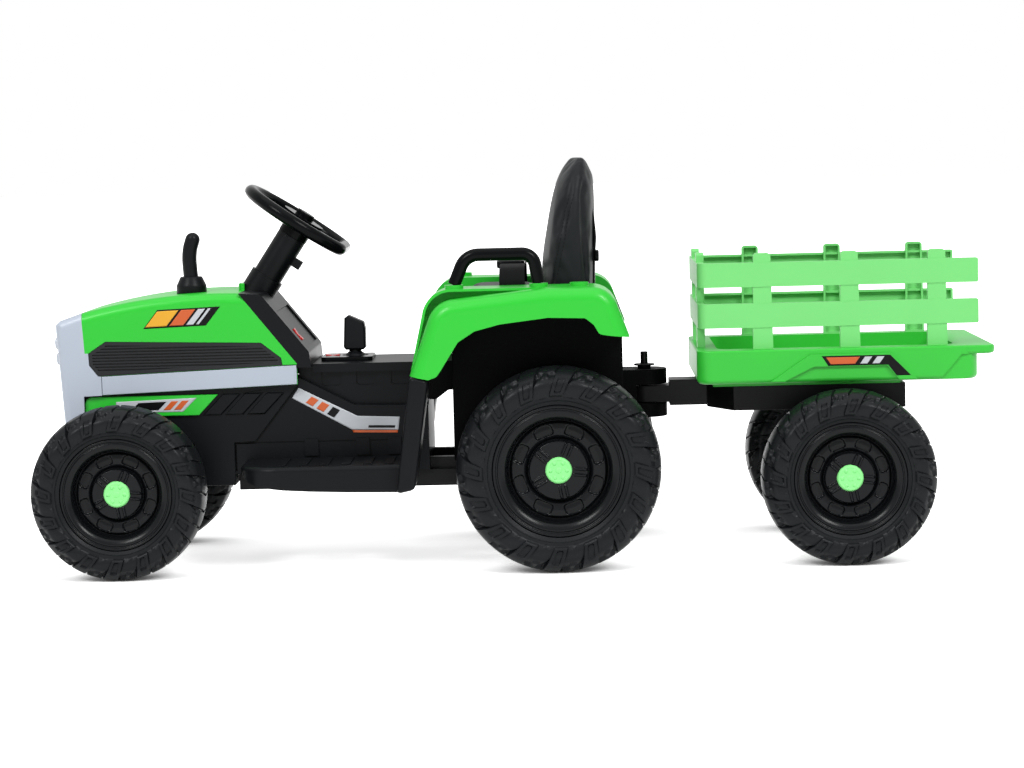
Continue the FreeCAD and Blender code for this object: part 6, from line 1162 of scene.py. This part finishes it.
# %% [markdown]
# ## Buckle and adjuster
# The belt's clasps are small smooth blocks. A ball whose axes are raised to a small power swells into a block
# with round edges, which is simpler than a box with a bevel.

# %% Buckle and adjuster
BUCKLE_AHEAD = 0.0035
BUCKLE_PLACE = (BELT_X - BUCKLE_AHEAD, 0, 0.4195)
BUCKLE_HALF = (0.0205, 0.026, 0.0062)
ADJUSTER_PLACE = (0.1228, TAIL_Y, 0.4305)
ADJUSTER_HALF = (0.0034, 0.0165, 0.0080)
PEBBLE_GRID = (25, 48)
PEBBLE_POWER = 0.35


def pebble(centre, half):
    """Point = centre + half x sign(ball) x |ball|^power, for each point of a unit ball."""
    unit = ball(*PEBBLE_GRID)
    return np.array(centre) + np.sign(unit) * np.abs(unit) ** PEBBLE_POWER * np.array(half)


clasps = [pebble(BUCKLE_PLACE, BUCKLE_HALF), pebble(ADJUSTER_PLACE, ADJUSTER_HALF)]
buckle = new_piece("belt_buckle", *joined(clasps, close_columns=True), "gloss_black")
stand_in(buckle, "tractor", "gloss_black")

# %% [markdown]
# ## Pressing on a film
# Plain bars in orange, amber, silver and black liven up the sides. Each bar is a thin film: a patch with four
# corners in side view, cut into a grid and pressed onto the piece below it by rays along Y. Solidify gives the
# film its thickness. An image on the piece would do as well, but a film has clean edges at any size.

# %% Pressing on a film
FILM_THICKNESS = 0.00025
FILM_STEP = 0.0003
FILM_GRID = (25, 13)
FILM_SLOTS = {"black_film": "gloss_black", "silver_film": "silver_plastic", "orange_film": "red_plastic",
              "amber_film": "red_plastic"}


def pressed(tree, corners, side, lift):
    """A grid over a four-cornered patch, laid on the piece and lifted along its surface direction."""
    rows, columns = FILM_GRID
    a, b, c, d = np.array(corners)
    s = np.linspace(0, 1, rows)[:, None, None]
    t = np.linspace(0, 1, columns)[None, :, None]
    flat = (a * (1 - s) + b * s) * (1 - t) + (d * (1 - s) + c * s) * t
    hits = [from_side(tree, x, z, side) for x, z in flat.reshape(-1, 2)]
    grid = np.array([place + lift * outward for place, outward in hits]).reshape(rows, columns, 3)
    return grid if side > 0 else grid[::-1]


def printed(node, body, bars):
    """One piece of film for each colour, on both sides; the plate lies one step up, the rest two."""
    tree = surface_of(nodes[node])
    plate = next(iter(bars))
    for finish, patches in bars.items():
        lift = FILM_STEP if finish == plate else 2 * FILM_STEP
        grids = [pressed(tree, corners, side, lift) for corners in patches for side in (-1, 1)]
        piece = new_piece(f"{node}_{finish}", *joined(grids), finish, outward=False)
        thick = piece.modifiers.new("thick", "SOLIDIFY")
        thick.thickness = FILM_THICKNESS
        stand_in(piece, body, FILM_SLOTS[finish])


print("points of a film patch:", math.prod(FILM_GRID))

# %% [markdown]
# ## Printed stripes
# Four places have bars: the bonnet, the lower panels, the tub and the trailer, and both sides of the toy get
# the same ones. A bar's corners are (x, z) places in side view. The first colour of each set is a plate, and
# the others lie on it.

# %% Printed stripes
HOOD_BARS = {
    "black_film": [((-0.5215, 0.3440), (-0.4325, 0.3470), (-0.4115, 0.3735), (-0.5005, 0.3705))],
    "amber_film": [((-0.5185, 0.3462), (-0.4885, 0.3472), (-0.4707, 0.3695), (-0.5008, 0.3685))],
    "orange_film": [((-0.4845, 0.3474), (-0.4645, 0.3481), (-0.4467, 0.3703), (-0.4667, 0.3697))],
    "silver_film": [((-0.4605, 0.3483), (-0.4505, 0.3486), (-0.4327, 0.3708), (-0.4427, 0.3705)),
                    ((-0.4465, 0.3488), (-0.4425, 0.3489), (-0.4247, 0.3711), (-0.4287, 0.3710))],
}
PANEL_BARS = {
    "silver_film": [((-0.5650, 0.2245), (-0.4700, 0.2245), (-0.4500, 0.2440), (-0.5650, 0.2405))],
    "black_film": [((-0.5450, 0.2275), (-0.5050, 0.2275), (-0.4930, 0.2395), (-0.5330, 0.2383))],
    "orange_film": [((-0.4980, 0.2275), (-0.4880, 0.2275), (-0.4760, 0.2400), (-0.4860, 0.2397)),
                    ((-0.4830, 0.2275), (-0.4730, 0.2275), (-0.4610, 0.2405), (-0.4710, 0.2402))],
}
TUB_BARS = {
    "silver_film": [((-0.3150, 0.2395), (-0.2310, 0.1925), (-0.2225, 0.2120), (-0.3055, 0.2540)),
                    ((-0.2310, 0.1925), (-0.1650, 0.1910), (-0.1625, 0.2095), (-0.2225, 0.2120))],
    "orange_film": [((-0.2960, 0.2327), (-0.2860, 0.2271), (-0.2772, 0.2361), (-0.2872, 0.2412)),
                    ((-0.2810, 0.2243), (-0.2710, 0.2187), (-0.2622, 0.2285), (-0.2722, 0.2336)),
                    ((-0.2290, 0.1885), (-0.1660, 0.1870), (-0.1655, 0.1905), (-0.2305, 0.1920))],
    "black_film": [((-0.2660, 0.2159), (-0.2560, 0.2103), (-0.2472, 0.2209), (-0.2572, 0.2260)),
                   ((-0.2080, 0.1950), (-0.1700, 0.1940), (-0.1690, 0.1975), (-0.2070, 0.1985))],
}
TRAILER_BARS = {
    "black_film": [((0.4400, 0.2742), (0.5232, 0.2742), (0.5260, 0.2880), (0.4310, 0.2880)),
                   ((0.5345, 0.2590), (0.5545, 0.2590), (0.5260, 0.2880), (0.5232, 0.2742))],
    "orange_film": [((0.4435, 0.2763), (0.4770, 0.2763), (0.4840, 0.2860), (0.4370, 0.2860))],
    "silver_film": [((0.4840, 0.2763), (0.4940, 0.2763), (0.5010, 0.2860), (0.4910, 0.2860)),
                    ((0.5010, 0.2763), (0.5110, 0.2763), (0.5180, 0.2860), (0.5080, 0.2860))],
}
printed("hood", "tractor", HOOD_BARS)
printed("lower_panels", "tractor", PANEL_BARS)
printed("centre_tub", "tractor", TUB_BARS)
printed("trailer_bed", "trailer", TRAILER_BARS)

# %% [markdown]
# ## Last lines
# The view layer is brought up to date once more.

# %% Last update
bpy.context.view_layer.update()
